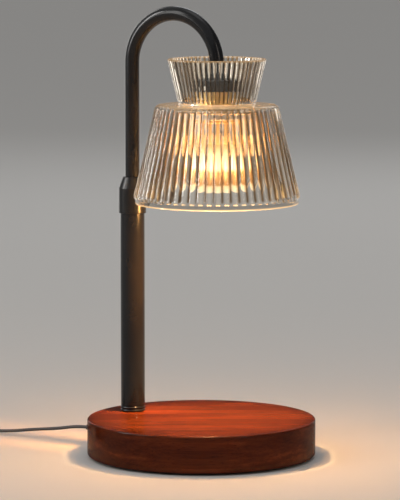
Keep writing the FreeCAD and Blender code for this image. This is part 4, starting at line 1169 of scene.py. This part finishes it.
    def cap(self, glow):
        """Ceramic cap above the bowl, waisted under its head."""
        low, high = box("bulb_base")
        outline = rounded(
            [
                (0, low.z),
                (0.0102, low.z),
                (0.0106, low.z + 0.001, 0.0008),
                (0.0089, low.z + 0.009, 0.006),
                (0.0087, high.z, 0.0008),
                (0, high.z),
            ],
            4,
        )
        finished("bulb_cap", turned(outline, SHADE_X, steps=64), glow, "arm", ("bulb_base",))


class LampFittings(bpy.types.Operator):
    """Strain relief, dimmer and plug on the lead"""

    bl_idname = "lamp.fittings"
    bl_label = "Relief, dimmer and plug"

    def execute(self, context):
        repaint(moulded("relief_rubber", (0.012, 0.012, 0.012), roughness=0.5), "cord_relief")
        case = moulded("dimmer_case", (0.014, 0.014, 0.015), roughness=0.4, grain=1100, depth=0.00003)
        repaint(case, "dimmer_lower_shell", "dimmer_upper_shell")
        repaint(moulded("wheel_plastic", (0.030, 0.030, 0.032), roughness=0.45), "dimmer_wheel")
        repaint(bpy.data.materials["zinc_plated_steel"], "dimmer_screws")
        repaint(board("circuit_board", (0.02, 0.10, 0.04), (0.35, 0.30, 0.12)), "dimmer_board")
        repaint(moulded("plug_body_plastic", (0.013, 0.013, 0.013), grain=1000, depth=0.00003), "plug_body")
        blades = metal("blade_nickel", (0.66, 0.64, 0.60), roughness=0.22, stretch=(2400, 400, 400))
        repaint(blades, "plug_blades")
        return {"FINISHED"}


# ------------------------ sidebar and registration
OPERATORS = (LampStage, LampLead, LampBase, LampStand, LampHolder, LampShade, LampBulb, LampFittings)


class LampPanel(bpy.types.Panel):
    """Sizes, finishes and pieces of the lamp"""

    bl_idname = "VIEW3D_PT_lamp"
    bl_label = "Candle warmer lamp"
    bl_space_type = "VIEW_3D"
    bl_region_type = "UI"
    bl_category = "Lamp"

    def draw(self, context):
        """Every size and finish, then a button for each piece."""
        for group in (context.scene.lamp_sizes, context.scene.lamp_finish):
            for name in group.__annotations__:
                self.layout.prop(group, name)
        for operator in OPERATORS:
            self.layout.operator(operator.bl_idname)


CLASSES = (LampSizes, LampFinish, *OPERATORS, LampPanel)


def register():
    """Adds the classes and the scene's own properties."""
    for item in CLASSES:
        bpy.utils.register_class(item)
    bpy.types.Scene.lamp_sizes = bpy.props.PointerProperty(type=LampSizes)
    bpy.types.Scene.lamp_finish = bpy.props.PointerProperty(type=LampFinish)


def unregister():
    """Takes away what register added."""
    del bpy.types.Scene.lamp_sizes
    del bpy.types.Scene.lamp_finish
    for item in reversed(CLASSES):
        bpy.utils.unregister_class(item)


def main():
    """Registers the classes and runs each operator to build the lamp."""
    register()
    for operator in OPERATORS:
        group, name = operator.bl_idname.split(".")
        getattr(getattr(bpy.ops, group), name)()


if __name__ == "__main__":
    main()
